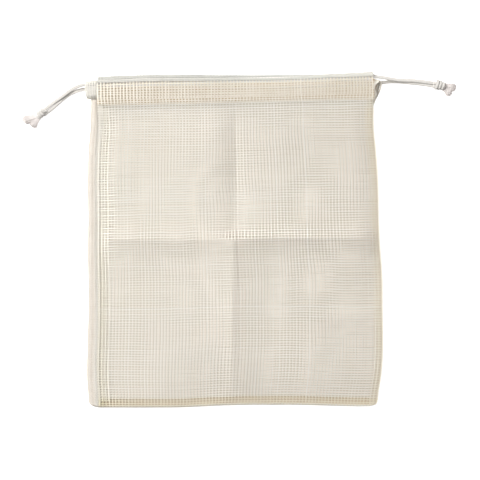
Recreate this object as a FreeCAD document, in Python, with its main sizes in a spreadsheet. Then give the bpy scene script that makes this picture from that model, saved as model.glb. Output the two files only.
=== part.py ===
"""Mesh produce bag, 301 x 342 mm, closed by two drawcords.

Frame: the bag lies flat on its back, +Z up, +Y towards the mouth, +X to the
right as one looks down on the front.  Origin: middle of the underside of the
bag without its loose cord ends.

How the real bag is made.  Two sheets of open cotton mesh are sewn together
along the left side, the bottom and the right side, with the allowances
turned inside.  Along the mouth each sheet is turned over and sewn down, which
makes a flat tunnel, the casing, front and back.  At each side of the mouth
both casings end in one short soft sleeve.  Two drawcords run through the
casings.  The left one goes in at the left, along the front casing, round in
the right-hand sleeve and back through the back casing, and its two ends are
knotted together outside on the left.  The right one is the same the other way
round.  Pulling a cord draws its bend, and the casing end around it, towards
the middle, which gathers the mouth.
"""

import FreeCAD, Part
import math
import os

import Sketcher

V = FreeCAD.Vector
os.makedirs("parts", exist_ok=True)
doc = FreeCAD.newDocument("mesh_produce_bag")

# ---------------------------------------------------------------- dimensions
sheet = doc.addObject("Spreadsheet::Sheet", "dims")
D = {}


def cell(alias, value):
    """One driving dimension, in millimetres or degrees."""
    row = len(D) + 1
    sheet.set("A%d" % row, alias)
    sheet.set("B%d" % row, repr(float(value)))
    sheet.setAlias("B%d" % row, alias)
    D[alias] = float(value)


for alias, value in [
    ("cloth", 1.2),  # one sheet of mesh, over its crossings
    ("allowance", 4.0),  # the folded seam allowances between the sheets
    ("allowance_wide", 8.0),
    ("roll", 8.8),  # how far the back sheet wraps round onto the front, at the left
    ("wall", 0.8),  # cloth of the casing, pressed flat
    ("casing_inner", 4.0),
    ("casing_deep", 27.0),  # top fold to sewn edge
    ("casing_flat", 21.5),  # where the tunnel starts to close
    ("sewn_edge", 2.0),  # two layers where the casing is sewn down
    ("mouth_gap", 4.6),  # between the two casings
    ("mouth_top", 167.57),  # top fold on the middle line
    ("casing_turn", 1.35),  # the mouth isn't quite square to the sides
    ("casing_left", -141.0),
    ("casing_right", 141.3),
    ("sleeve_left", -150.5),
    ("sleeve_right", 149.4),
    ("sleeve_near", 1.4),
    ("sleeve_far", 20.0),
    ("cord", 3.4),
    ("left_cord_down", 8.0),  # from the top fold to the cord's middle
    ("right_cord_down", 4.2),
    ("pull", 110.0),  # how far each cord comes out
    ("thread", 0.6),
    ("thread_high", 0.3),
]:
    cell(alias, value)

# Stations up the bag: name, Y, left edge, right edge, flat ledge over the seam,
# width of the rise, height of the front sheet's underside in the middle.
STATIONS = [
    ("foot", -170.9, -138.0, 137.0, 8.0, 16.0, 5.25),
    ("corner", -168.9, -146.4, 141.0, 8.0, 16.0, 5.4),
    ("low", -164.0, -148.4, 145.3, 8.0, 16.0, 5.9),
    ("rise", -150.0, -149.6, 146.8, 8.0, 16.0, 6.6),
    ("calf", -133.0, -150.5, 149.4, 8.0, 16.0, 7.1),
    ("knee", -100.0, -149.6, 150.5, 8.0, 16.0, 7.5),
    ("thigh", -45.0, -148.6, 150.5, 8.0, 16.0, 7.8),
    ("waist", -5.0, -149.4, 147.8, 8.0, 16.0, 7.8),
    ("chest", 60.0, -149.4, 145.4, 8.0, 16.0, 8.2),
    ("neck", 92.0, -148.4, 143.3, 8.0, 14.0, 8.8),
    ("collar", 118.0, -146.2, 141.4, 8.0, 10.0, 9.6),
    ("stitch", 140.4, -145.8, 141.4, 7.5, 4.0, 10.6),
]
for name, *numbers in STATIONS:
    for what, value in zip(("at", "west", "east", "ledge", "ramp", "over"), numbers):
        cell("%s_%s" % (what, name), value)

doc.recompute()
TURN = math.radians(D["casing_turn"])
SLOPE = math.tan(TURN)


class Size:
    """A sum of dimensions, which knows both its number and its expression."""

    def __init__(self, terms=(), plus=0.0):
        self.terms, self.plus = tuple(terms), float(plus)

    def __add__(self, other):
        other = as_size(other)
        return Size(self.terms + other.terms, self.plus + other.plus)

    def __mul__(self, k):
        return Size([(c * k, a) for c, a in self.terms], self.plus * k)

    def __sub__(self, other):
        return self + as_size(other) * -1.0

    @property
    def number(self):
        return sum(c * D[a] for c, a in self.terms) + self.plus

    @property
    def expression(self):
        said = " + ".join("(%.9g) * dims.%s" % t for t in self.terms)
        if not said or abs(self.plus) > 1e-12:
            said += (" + " if said else "") + "(%.9g)" % self.plus
        return said


def as_size(x):
    return x if isinstance(x, Size) else Size((), x)


def dim(alias):
    return Size([(1.0, alias)])


def outline_sketch(sketch, points):
    """A closed outline of straight lines, each corner held by two dimensions."""
    n = len(points)
    xy = [(as_size(x), as_size(y)) for x, y in points]
    for k in range(n):
        a, b = xy[k], xy[(k + 1) % n]
        sketch.addGeometry(
            Part.LineSegment(V(a[0].number, a[1].number, 0), V(b[0].number, b[1].number, 0)),
            False,
        )
    for k in range(n):
        sketch.addConstraint(Sketcher.Constraint("Coincident", k, 2, (k + 1) % n, 1))
    for k, (x, y) in enumerate(xy):
        for kind, size in (("DistanceX", x), ("DistanceY", y)):
            if abs(size.number) < 1e-9:
                flat = "PointOnObject"
                axis = -2 if kind == "DistanceX" else -1
                sketch.addConstraint(Sketcher.Constraint(flat, k, 1, axis))
                continue
            c = sketch.addConstraint(Sketcher.Constraint(kind, -1, 1, k, 1, size.number))
            if size.terms:
                sketch.setExpression("Constraints[%d]" % c, size.expression)


def plane(body, role):
    return next(f for f in body.Origin.OriginFeatures if f.Role == role)


def padded(name, role, points, length, holes=(), offset=None, placement=None, more=()):
    """A PartDesign body: an outline on one of its planes, padded, with any
    further outlines (points, height of the plane, length) padded onto it."""
    body = doc.addObject("PartDesign::Body", name)
    body.Label = name
    sketch = body.newObject("Sketcher::SketchObject", name + "_outline")
    sketch.AttachmentSupport = [(plane(body, role), "")]
    sketch.MapMode = "FlatFace"
    outline_sketch(sketch, points)
    if offset is not None:
        offset = as_size(offset)
        sketch.AttachmentOffset = FreeCAD.Placement(V(0, 0, offset.number), FreeCAD.Rotation())
        if offset.terms:
            sketch.setExpression("AttachmentOffset.Base.z", offset.expression)
    pad = body.newObject("PartDesign::Pad", name + "_pad")
    pad.Profile = sketch
    length = as_size(length)
    pad.Length = length.number
    if length.terms:
        pad.setExpression("Length", length.expression)
    sketch.Visibility = False
    for k, (outline, start, high) in enumerate(more):
        extra = body.newObject("Sketcher::SketchObject", "%s_outline_%d" % (name, k))
        extra.AttachmentSupport = [(plane(body, role), "")]
        extra.MapMode = "FlatFace"
        outline_sketch(extra, outline)
        extra.AttachmentOffset = FreeCAD.Placement(V(0, 0, start.number), FreeCAD.Rotation())
        extra.setExpression("AttachmentOffset.Base.z", start.expression)
        onto = body.newObject("PartDesign::Pad", "%s_pad_%d" % (name, k))
        onto.Profile = extra
        onto.Length = high.number
        onto.setExpression("Length", high.expression)
        doc.recompute()
        body.Tip = onto
    for k, hole in enumerate(holes):
        inner = body.newObject("Sketcher::SketchObject", "%s_hollow_%d" % (name, k))
        inner.AttachmentSupport = [(plane(body, role), "")]
        inner.MapMode = "FlatFace"
        outline_sketch(inner, hole)
        if offset is not None:
            inner.AttachmentOffset = FreeCAD.Placement(
                V(0, 0, offset.number), FreeCAD.Rotation()
            )
            if offset.terms:
                inner.setExpression("AttachmentOffset.Base.z", offset.expression)
        cut = body.newObject("PartDesign::Pocket", "%s_tunnel_%d" % (name, k))
        cut.Profile = inner
        cut.Length = length.number
        cut.Reversed = True
        if length.terms:
            cut.setExpression("Length", length.expression)
        doc.recompute()
        body.Tip = cut
    if placement is not None:
        body.Placement = placement
    return body


nodes = []

# --------------------------------------------------------------- back sheet
# Flat on the surface, the full outline of the bag up to the sewn edge of its
# casing.  The top edge follows the turned casing.  At the left it turns up
# and over onto the front, and the side seam lies in from the edge.
order = [s[0] for s in STATIONS]
seam_top = dim("cloth") + dim("allowance")
up_right = [(dim("east_" + s), dim("at_" + s)) for s in order[:-1]]
down_left = [(dim("west_" + s), dim("at_" + s)) for s in reversed(order[:-1])]
top_right = (dim("east_stitch"), dim("at_stitch") + dim("east_stitch") * SLOPE)
top_left = (dim("west_stitch"), dim("at_stitch") + dim("west_stitch") * SLOPE)


def strip_points(side, near, far, first, upto, short=1.0):
    """A strip along one side, between two distances in from the edge."""
    sign = 1.0 if side == "west" else -1.0
    names = order[order.index(first) : order.index(upto) + 1]
    outer = [(dim("%s_%s" % (side, s)) + as_size(near) * sign, dim("at_" + s)) for s in names]
    inner = [(dim("%s_%s" % (side, s)) + as_size(far) * sign, dim("at_" + s)) for s in names]
    end = dim("at_stitch") + dim("%s_stitch" % side) * SLOPE - short
    edge = dim("%s_stitch" % side)
    outer.append((edge + as_size(near) * sign, end))
    inner.append((edge + as_size(far) * sign, end))
    return outer + inner[::-1]


nodes.append(
    padded(
        "back_panel",
        "XY_Plane",
        up_right + [top_right, top_left] + down_left,
        dim("cloth"),
        more=[
            (strip_points("west", 0.0, dim("cloth"), "corner", "collar"), dim("cloth"), dim("allowance")),
            (strip_points("west", 0.0, dim("roll") - 0.3, "corner", "collar"), seam_top, dim("cloth")),
        ],
    )
)

# -------------------------------------------------------------- front sheet
# A shallow dish over the back sheet: on the seam allowances round three sides,
# risen in the middle, highest at the mouth.  Lofted through its stations.
sections = []
for s in order:
    w, e = dim("west_" + s) + dim("roll"), dim("east_" + s)
    ledge, ramp, over = dim("ledge_" + s), dim("ramp_" + s), dim("over_" + s)
    t = dim("cloth")
    under = [
        (w, seam_top),
        (w + ledge, seam_top),
        (w + ledge + ramp, over),
        (e - ledge - ramp, over),
        (e - ledge, seam_top),
        (e, seam_top),
    ]
    above = [(x, z + t) for x, z in reversed(under)]
    sketch = doc.addObject("Sketcher::SketchObject", "front_panel_at_" + s)
    turn = D["casing_turn"] if s == "stitch" else 0.0
    # sketch x runs along +X, sketch y up
    stand = FreeCAD.Rotation(V(0, 0, 1), turn) * FreeCAD.Rotation(V(1, 0, 0), 90)
    sketch.Placement = FreeCAD.Placement(V(0, D["at_" + s], 0), stand)
    sketch.setExpression("Placement.Base.y", "dims.at_" + s)
    outline_sketch(sketch, under + above)
    sections.append(sketch)
loft = doc.addObject("Part::Loft", "front_panel")
loft.Sections = sections
loft.Solid = True
loft.Ruled = True
loft.Label = "front_panel"
nodes.append(loft)

# ------------------------------------------------------- seams, inside, sewn
# The turned-in allowances of both sheets, between them round three sides.
bar_foot = dim("at_foot") + dim("allowance_wide")


def side_strip(name, side, near, far, z, high, first, upto):
    return padded(name, "XY_Plane", strip_points(side, near, far, first, upto), high, offset=z)


nodes.append(
    side_strip(
        "left_side_seam", "west", dim("roll"), dim("roll") + dim("allowance_wide"), dim("cloth"), dim("allowance"), "low", "collar"
    )
)
nodes.append(
    side_strip(
        "right_side_seam", "east", 0.0, dim("allowance_wide"), dim("cloth"), dim("allowance"), "low", "collar"
    )
)
foot_top = dim("at_low") - 0.3
nodes.append(
    padded(
        "bottom_seam",
        "XY_Plane",
        [
            (dim("west_foot") + 1.5, dim("at_foot")),
            (dim("east_foot"), dim("at_foot")),
            (dim("east_corner"), dim("at_corner")),
            (dim("east_low"), foot_top),
            (dim("west_low") + 1.5, foot_top),
            (dim("west_corner") + 1.5, dim("at_corner")),
        ],
        dim("allowance"),
        offset=dim("cloth"),
    )
)

# ------------------------------------------------------------------ casings
# Drawn across the tunnel: sketch x is the distance below the top fold, sketch
# y is up.  Padded along the mouth, then turned with it.
along = FreeCAD.Rotation(V(0, 0, 1), D["casing_turn"])


def casing_place(z):
    """The tunnel's profile is drawn on the YZ plane: its x is +Y, its y is +Z."""
    return FreeCAD.Placement(V(0, D["mouth_top"], z), along)


def casing(name, z0):
    high = dim("wall") * 2.0 + dim("casing_inner")
    z0 = as_size(z0)
    skin = [
        (dim("casing_deep") * -1.0, z0),
        (Size((), -1.6), z0),
        (Size(), z0 + 1.4),
        (Size(), z0 + high - 1.4),
        (Size((), -1.6), z0 + high),
        (dim("casing_flat") * -1.0, z0 + high),
        (dim("casing_deep") * -1.0 + 2.6, z0 + dim("sewn_edge")),
        (dim("casing_deep") * -1.0, z0 + dim("sewn_edge")),
    ]
    wall = dim("wall")
    hollow = [
        (dim("casing_flat") * -1.0 + wall, z0 + wall),
        (wall * -1.0 - 1.0, z0 + wall),
        (wall * -1.0, z0 + wall + 0.8),
        (wall * -1.0, z0 + high - wall - 0.8),
        (wall * -1.0 - 1.0, z0 + high - wall),
        (dim("casing_flat") * -1.0 + wall, z0 + high - wall),
    ]
    length = dim("casing_right") - dim("casing_left")
    return padded(
        name, "YZ_Plane", skin, length, holes=[hollow], offset=dim("casing_left"),
        placement=casing_place(0),
    )


tier = dim("wall") * 2.0 + dim("casing_inner")
front_floor = tier + dim("mouth_gap")
nodes.append(casing("back_casing", Size()))
nodes.append(casing("front_casing", front_floor))


def sleeve(name, start, stop):
    """The soft sleeve in which both casings end, open along the mouth."""
    top = front_floor + tier
    near, far, wall = dim("sleeve_near") * -1.0, dim("sleeve_far") * -1.0, dim("wall")
    soft = 2.0
    skin = [
        (far + soft, Size()),
        (near - soft, Size()),
        (near, Size((), soft)),
        (near, top - soft),
        (near - soft, top),
        (far + soft, top),
        (far, top - soft),
        (far, Size((), soft)),
    ]
    hard = 0.7
    hollow = [
        (far + wall + hard, wall),
        (near - wall - hard, wall),
        (near - wall, wall + hard),
        (near - wall, top - wall - hard),
        (near - wall - hard, top - wall),
        (far + wall + hard, top - wall),
        (far + wall, top - wall - hard),
        (far + wall, wall + hard),
    ]
    return padded(
        name, "YZ_Plane", skin, dim(stop) - dim(start), holes=[hollow], offset=dim(start),
        placement=casing_place(0),
    )


nodes.append(sleeve("left_casing_mouth", "sleeve_left", "casing_left"))
nodes.append(sleeve("right_casing_mouth", "casing_right", "sleeve_right"))

# ------------------------------------------------------------------ threads
# Rows of sewing thread, each a flat run lying on the cloth it holds down.
def hem_stitch(name, z):
    v = dim("casing_deep") * -1.0 + 1.0
    return padded(
        name,
        "YZ_Plane",
        [(v, z), (v + dim("thread"), z), (v + dim("thread"), z + dim("thread_high")), (v, z + dim("thread_high"))],
        dim("casing_right") - dim("casing_left") - 2.0,
        offset=dim("casing_left") + 1.0,
        placement=casing_place(0),
    )


nodes.append(hem_stitch("back_hem_stitch", dim("sewn_edge")))
nodes.append(hem_stitch("front_hem_stitch", front_floor + dim("sewn_edge")))
on_ledge = seam_top + dim("cloth")
nodes.append(
    side_strip("left_seam_stitch", "west", dim("roll") + 0.6, dim("roll") + dim("thread") + 0.6, on_ledge, dim("thread_high"), "low", "neck")
)
nodes.append(
    side_strip("right_seam_stitch", "east", 6.4, dim("thread") + 6.4, on_ledge, dim("thread_high"), "low", "neck")
)
nodes.append(
    padded(
        "bottom_seam_stitch",
        "XY_Plane",
        [
            (dim("west_foot") + dim("roll"), dim("at_foot") + 1.0),
            (dim("east_foot"), dim("at_foot") + 1.0),
            (dim("east_foot"), dim("at_foot") + 1.0 + dim("thread")),
            (dim("west_foot") + dim("roll"), dim("at_foot") + 1.0 + dim("thread")),
        ],
        dim("thread_high"),
        offset=on_ledge + 0.25,
    )
)

# -------------------------------------------------------------------- cords
R = D["cord"] / 2.0
U = V(math.cos(TURN), math.sin(TURN), 0)
N = V(-math.sin(TURN), math.cos(TURN), 0)
MOUTH = V(0, D["mouth_top"], 0)
BACK_Z = D["wall"] + D["casing_inner"] / 2.0
FRONT_Z = BACK_Z + 2 * D["wall"] + D["casing_inner"] + D["mouth_gap"]


def on_mouth(s, down, z):
    """A point s along the mouth, down below its top fold, z above the surface."""
    return MOUTH + U * s - N * down + V(0, 0, z)


def feature(name, shape):
    f = doc.addObject("Part::Feature", name)
    f.Shape = shape
    f.Label = name
    nodes.append(f)
    return f


def tube(wire, start, direction, radius=R):
    circle = Part.Wire([Part.makeCircle(radius, start, direction)])
    return wire.makePipeShell([circle], True, False)


def run(name, a, b):
    """A straight stretch of cord inside a casing."""
    c = doc.addObject("Part::Cylinder", name)
    c.Label = name
    c.Radius, c.Height = R, (b - a).Length
    c.setExpression("Radius", "dims.cord / 2")
    c.setExpression("Height", "dims.casing_right - dims.casing_left")
    c.Placement = FreeCAD.Placement(a, FreeCAD.Rotation(V(0, 0, 1), b - a))
    nodes.append(c)
    return c


def rounded(points):
    """Straight runs joined by tangent arcs: (wire, length, radii in mm)."""
    edges, radii, length = [], [], 0.0
    at = points[0]
    for k in range(1, len(points) - 1):
        a, b, c = points[k - 1], points[k], points[k + 1]
        u, w = (a - b), (c - b)
        shorter = min(u.Length, w.Length)
        u.normalize()
        w.normalize()
        turn = math.pi - u.getAngle(w)
        r = 0.45 * shorter / math.tan(turn / 2)
        back = 0.45 * shorter
        p, q = b + u * back, b + w * back
        middle = u + w
        middle.normalize()
        centre = b + middle * (r / math.cos(turn / 2))
        on = centre - middle * r
        edges.append(Part.LineSegment(at, p).toShape())
        edges.append(Part.Arc(p, on, q).toShape())
        length += (p - at).Length + r * turn
        radii.append(r)
        at = q
    edges.append(Part.LineSegment(at, points[-1]).toShape())
    length += (points[-1] - at).Length
    return Part.Wire(edges), length, radii


def strand(name, points):
    """A loose end of cord, from the casing to the knot."""
    wire, length, radii = rounded(points)
    direction = points[1] - points[0]
    solid = tube(wire, points[0], direction)
    runs = [(points[k + 1] - points[k]).Length for k in range(len(points) - 1)]
    turns = [
        math.degrees((points[k] - points[k - 1]).getAngle(points[k + 1] - points[k]))
        for k in range(1, len(points) - 1)
    ]
    ratio = solid.Volume / (math.pi * R * R * length)
    print(
        "%s: length %.1f mm, radii %s, runs %s, turns %s, volume / (section x length) %.4f"
        % (
            name,
            length,
            ["%.0f" % r for r in radii],
            ["%.1f" % r for r in runs],
            ["%.0f" % t for t in turns],
            ratio,
        )
    )
    assert abs(ratio - 1) < 0.01, name
    return feature(name, solid)


def bend(name, s, down, way):
    """The cord's half turn from the front casing to the back one, in the sleeve."""
    lead = 0.5 * way
    r = (FRONT_Z - BACK_Z) / 2.0
    a, b = on_mouth(s, down, FRONT_Z), on_mouth(s + lead, down, FRONT_Z)
    out = on_mouth(s + lead + r * way, down, (FRONT_Z + BACK_Z) / 2)
    c, d = on_mouth(s + lead, down, BACK_Z), on_mouth(s, down, BACK_Z)
    wire = Part.Wire(
        [
            Part.LineSegment(a, b).toShape(),
            Part.Arc(b, out, c).toShape(),
            Part.LineSegment(c, d).toShape(),
        ]
    )
    length = 1.0 + math.pi * r
    solid = tube(wire, a, b - a)
    ratio = solid.Volume / (math.pi * R * R * length)
    print("%s: length %.1f mm, radius %.2f mm, volume ratio %.4f" % (name, length, r, ratio))
    assert abs(ratio - 1) < 0.01, name
    return feature(name, solid)


LEFT, RIGHT = D["casing_left"], D["casing_right"]
DL, DR = D["left_cord_down"], D["right_cord_down"]

for side, down in (("left", DL), ("right", DR)):
    for layer, z in (("front", FRONT_Z), ("back", BACK_Z)):
        run("%s_cord_%s_run" % (side, layer), on_mouth(LEFT, down, z), on_mouth(RIGHT, down, z))
bend("left_cord_bend", RIGHT, DL, 1)
bend("right_cord_bend", LEFT, DR, -1)

# The loose ends: out of the sleeve, down to the surface and along it to the
# knot.  Each strand's first run is straight on from the casing.
left_front_route = [
    on_mouth(LEFT, DL, FRONT_Z),
    on_mouth(LEFT - 8.0, DL - 0.6, FRONT_Z - 0.6),
    V(-159.0, 155.8, 9.4),
    V(-168.5, 150.4, 5.0),
    V(-178.0, 143.4, 2.6),
    V(-187.2, 136.0, 2.0),
    V(-194.6, 129.6, 3.6),
]
left_back_route = [
    on_mouth(LEFT, DL, BACK_Z),
    on_mouth(LEFT - 8.5, DL + 0.6, BACK_Z - 0.1),
    V(-160.0, 151.4, 2.2),
    V(-169.5, 145.2, 1.75),
    V(-177.5, 138.9, 1.75),
    V(-185.0, 132.2, 2.1),
    V(-191.6, 126.6, 3.6),
]
right_front_route = [
    on_mouth(RIGHT, DR, FRONT_Z),
    on_mouth(RIGHT + 8.5, DR + 0.6, FRONT_Z - 0.6),
    V(160.5, 163.9, 9.0),
    V(171.5, 162.9, 5.6),
    V(183.0, 161.7, 4.7),
    V(194.5, 160.4, 4.6),
    V(205.0, 158.6, 4.9),
]
right_back_route = [
    on_mouth(RIGHT, DR, BACK_Z),
    on_mouth(RIGHT + 8.0, DR + 1.4, BACK_Z - 0.1),
    V(159.0, 161.4, 2.0),
    V(170.0, 159.9, 1.75),
    V(182.0, 158.8, 1.75),
    V(194.0, 157.2, 1.75),
    V(205.0, 154.9, 3.4),
]
strand("left_cord_front_strand", left_front_route)
strand("left_cord_back_strand", left_back_route)
strand("right_cord_front_strand", right_front_route)
strand("right_cord_back_strand", right_back_route)


def knot(name, centre, heading, long_radius, round_radius, high_radius):
    """An overhand knot's outer shape, long along the cord."""
    e = doc.addObject("Part::Ellipsoid", name)
    e.Label = name
    # Radius1 stands along its own z, Radius2 along x, Radius3 along y
    e.Radius1, e.Radius2, e.Radius3 = high_radius, long_radius, round_radius
    e.Angle1, e.Angle2, e.Angle3 = -90, 90, 360
    turn = math.degrees(math.atan2(heading.y, heading.x))
    e.Placement = FreeCAD.Placement(centre, FreeCAD.Rotation(V(0, 0, 1), turn))
    nodes.append(e)
    return e


def tail(name, start, end, thick):
    """A frayed end, wider towards its tip."""
    c = doc.addObject("Part::Cone", name)
    c.Label = name
    c.Radius1, c.Radius2, c.Height = R, thick, (end - start).Length
    c.setExpression("Radius1", "dims.cord / 2")
    c.Placement = FreeCAD.Placement(start, FreeCAD.Rotation(V(0, 0, 1), end - start))
    nodes.append(c)
    return c


knot("left_cord_knot", V(-196.6, 126.9, 4.5), V(-0.74, -0.67, 0), 6.2, 4.9, 4.5)
tail("left_cord_front_tail", V(-199.0, 126.3, 3.9), V(-212.4, 122.6, 3.4), 3.2)
tail("left_cord_back_tail", V(-197.9, 123.3, 3.5), V(-202.6, 114.6, 3.2), 2.6)
knot("right_cord_knot", V(210.2, 157.6, 4.7), V(1.0, -0.12, 0), 5.6, 5.1, 4.7)
tail("right_cord_front_tail", V(213.0, 157.6, 5.0), V(224.2, 154.2, 4.4), 2.6)
tail("right_cord_back_tail", V(212.4, 153.6, 3.6), V(218.8, 147.6, 3.2), 2.6)

# --------------------------------------------------------- check and export
doc.recompute()
wrong = []
for obj in doc.Objects:
    state = getattr(obj, "State", [])
    if "Invalid" in state or "Error" in state:
        wrong.append("%s is %s" % (obj.Name, state))
for node in nodes:
    shape = node.Shape
    if shape.isNull() or not shape.isValid() or len(shape.Solids) != 1 or shape.Volume <= 0:
        wrong.append("%s has no sound solid" % node.Label)
if wrong:
    raise SystemExit("\n".join(wrong))
low, high = V(1e9, 1e9, 1e9), V(-1e9, -1e9, -1e9)
loose = ("strand", "knot", "tail")
for node in nodes:
    node.Shape.exportStep("parts/%s.step" % node.Label)
    box = node.Shape.BoundBox
    print(
        "%-26s %8.1f mm3  x %.2f..%.2f  y %.2f..%.2f  z %.2f..%.2f"
        % (node.Label, node.Shape.Volume, box.XMin, box.XMax, box.YMin, box.YMax, box.ZMin, box.ZMax)
    )
    if not any(word in node.Label for word in loose):
        low = V(min(low.x, box.XMin), min(low.y, box.YMin), min(low.z, box.ZMin))
        high = V(max(high.x, box.XMax), max(high.y, box.YMax), max(high.z, box.ZMax))
print("bag without loose cord: %s to %s, %d nodes" % (low, high, len(nodes)))
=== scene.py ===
"""A mesh produce bag lying flat on a pale table, seen from straight above.

Every length in the making below is in millimetres and becomes metres in Batch.piece().
X runs to the right, Y towards the mouth, Z up. The cloth is made yarn by yarn: a warp
yarn is two plies that twist round each weft yarn, as in gauze weave.
"""

import math

import bpy
import numpy as np
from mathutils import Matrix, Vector


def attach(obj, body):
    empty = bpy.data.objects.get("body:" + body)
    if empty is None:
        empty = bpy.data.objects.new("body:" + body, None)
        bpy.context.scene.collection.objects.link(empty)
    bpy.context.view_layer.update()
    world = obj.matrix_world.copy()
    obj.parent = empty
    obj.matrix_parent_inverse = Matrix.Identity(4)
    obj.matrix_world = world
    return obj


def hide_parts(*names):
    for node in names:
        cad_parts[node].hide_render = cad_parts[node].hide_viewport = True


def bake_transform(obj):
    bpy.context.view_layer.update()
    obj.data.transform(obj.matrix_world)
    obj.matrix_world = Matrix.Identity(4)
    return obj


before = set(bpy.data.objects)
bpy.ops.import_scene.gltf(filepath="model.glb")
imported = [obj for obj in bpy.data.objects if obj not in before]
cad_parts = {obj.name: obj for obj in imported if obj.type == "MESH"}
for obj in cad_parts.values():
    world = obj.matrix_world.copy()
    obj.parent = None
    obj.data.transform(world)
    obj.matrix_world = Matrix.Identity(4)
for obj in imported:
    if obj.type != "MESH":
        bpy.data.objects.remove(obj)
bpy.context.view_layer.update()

# --------------------------------------------------------------------------- camera
scene = bpy.context.scene
eye = bpy.data.cameras.new("eye")
eye.type = "PERSP"
eye.lens = 100.0
eye.sensor_width = 36.0
eye.clip_start = 0.05
eye.clip_end = 20.0
camera = bpy.data.objects.new("eye", eye)
camera.location = (0.0051, 0.0, 1.368)
camera.rotation_euler = (0.0, 0.0, 0.0)
scene.collection.objects.link(camera)
scene.camera = camera

# --------------------------------------------------------------------------- numbers
PX, PY = 3.31, 2.61  # from warp to warp, and from weft to weft
TILT = math.radians(1.35)
UX, UY = math.cos(TILT), math.sin(TILT)
NX, NY = -math.sin(TILT), math.cos(TILT)
MOUTH_TOP = 167.57
SEAM_DEEP = 27.0  # from the mouth's edge down to the casing's stitching
ROLL_R = 3.2  # how far an edge's curl reaches in


def rand(seed):
    return np.random.default_rng(seed)


def ease(t):
    t = np.clip(t, 0.0, 1.0)
    return t * t * (3.0 - 2.0 * t)


def softened(xs, values, sigma=7.0, low=-190.0, high=190.0):
    """A smooth function through a coarse table."""
    grid = np.arange(low, high + 0.5, 0.5)
    v = np.interp(grid, xs, values)
    half = int(3 * sigma / 0.5)
    k = np.exp(-0.5 * (np.arange(-half, half + 1) * 0.5 / sigma) ** 2)
    v = np.convolve(np.pad(v, half, mode="edge"), k / k.sum(), mode="valid")
    return lambda x: np.interp(x, grid, v)


def waves(seed, count, short, long, tall):
    """A wandering height over the plane: plane waves of many lengths and directions."""
    r = rand(seed)
    lam = np.exp(r.uniform(math.log(short), math.log(long), count))
    turn = r.uniform(0, 2 * math.pi, count)
    phase = r.uniform(0, 2 * math.pi, count)
    size = (lam / long) ** 0.8 * r.uniform(0.5, 1.0, count)
    size *= tall / math.sqrt((size**2).sum() / 2)

    def f(x, y):
        out = np.zeros(np.broadcast(x, y).shape)
        for l, t, p, s in zip(lam, turn, phase, size):
            out += s * np.sin(2 * math.pi * (x * math.cos(t) + y * math.sin(t)) / l + p)
        return out

    return f


def drift(r, rows, along, tall, lengths=(37.0, 71.0, 143.0)):
    """A slow sideways wander for each yarn: shape (rows, len(along))."""
    out = np.zeros((rows, along.shape[-1]))
    for l in lengths:
        phase = r.uniform(0, 2 * math.pi, (rows, 1))
        size = r.normal(0, 1, (rows, 1)) / math.sqrt(len(lengths))
        scale = r.uniform(0.85, 1.2, (rows, 1))
        out += size * np.sin(2 * math.pi * along / (l * scale) + phase)
    return tall * out


# the bag's outline
west = softened(
    [-171, -160, -150, -140, -120, -100, -75, -60, -45, -30, -10, 5, 20, 40, 60, 80, 96, 111, 118, 125, 133, 141],
    [-149.4, -149.8, -150.7, -151.5, -151.2, -150.5, -149.9, -149.9, -149.9, -150.2, -150.5, -150.3, -150.1, -150.4, -150.7, -150.3, -149.7, -148.0, -147.5, -147.5, -147.5, -147.2],
    5.0,
)
east = softened(
    [-171, -160, -150, -140, -120, -100, -75, -60, -45, -30, -10, 5, 20, 40, 60, 80, 96, 111, 118, 125, 133, 141],
    [145.8, 147.0, 148.2, 150.3, 151.9, 152.1, 151.8, 151.6, 151.7, 151.1, 149.3, 148.5, 147.9, 147.5, 147.2, 145.8, 144.5, 142.6, 142.3, 142.3, 142.3, 142.0],
    6.0,
)
bottom = softened(
    [-150, -100, -55, -25, 5, 66, 100, 128, 150],
    [-171.2, -171.4, -171.2, -169.6, -168.5, -168.4, -169.4, -170.2, -169.8],
    9.0,
)
roll = softened([-171, -145, -120, -60, 0, 60, 100, 125, 141], [10.2, 10.8, 10.7, 10.4, 9.8, 9.9, 9.9, 8.6, 7.6], 8.0)


def stitch_y(x):
    return MOUTH_TOP - SEAM_DEEP + 0.02357 * x


def rounded(x, y):
    """Draws the bag's two lower corners in, with the cloth's grid."""
    for side, wide, high in ((-1, 13.0, 6.5), (1, 11.0, 6.0)):
        edge = west(y) if side < 0 else east(y)
        s = 1 - (x - edge) * -side / wide if side > 0 else 1 - (x - edge) / wide
        t = 1 - (y - bottom(x)) / high
        hit = (s > 0) & (t > 0)
        s1, t1 = np.clip(s, 0, 1.2), np.clip(t, 0, 1.2)
        s2 = s1 * np.sqrt(np.maximum(1 - t1**2 / 2, 0.1))
        t2 = t1 * np.sqrt(np.maximum(1 - s1**2 / 2, 0.1))
        x = np.where(hit, x + (s1 - s2) * wide * -side, x)
        y = np.where(hit, y + (t1 - t2) * high, y)
    return x, y


crumple = waves(11, 22, 26.0, 150.0, 0.36)
crumple_back = waves(12, 14, 30.0, 120.0, 0.10)
shear_x = waves(13, 9, 55.0, 190.0, 0.34)
shear_y = waves(14, 9, 55.0, 190.0, 0.34)
shear_bx = waves(15, 12, 55.0, 170.0, 1.15)
shear_by = waves(16, 12, 55.0, 170.0, 0.95)


def tip(d, reach, round_=1.3):
    """A crease's profile: a rounded tip that dies away."""
    return np.exp(-(np.sqrt(d * d + round_ * round_) - round_) / reach)


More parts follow.
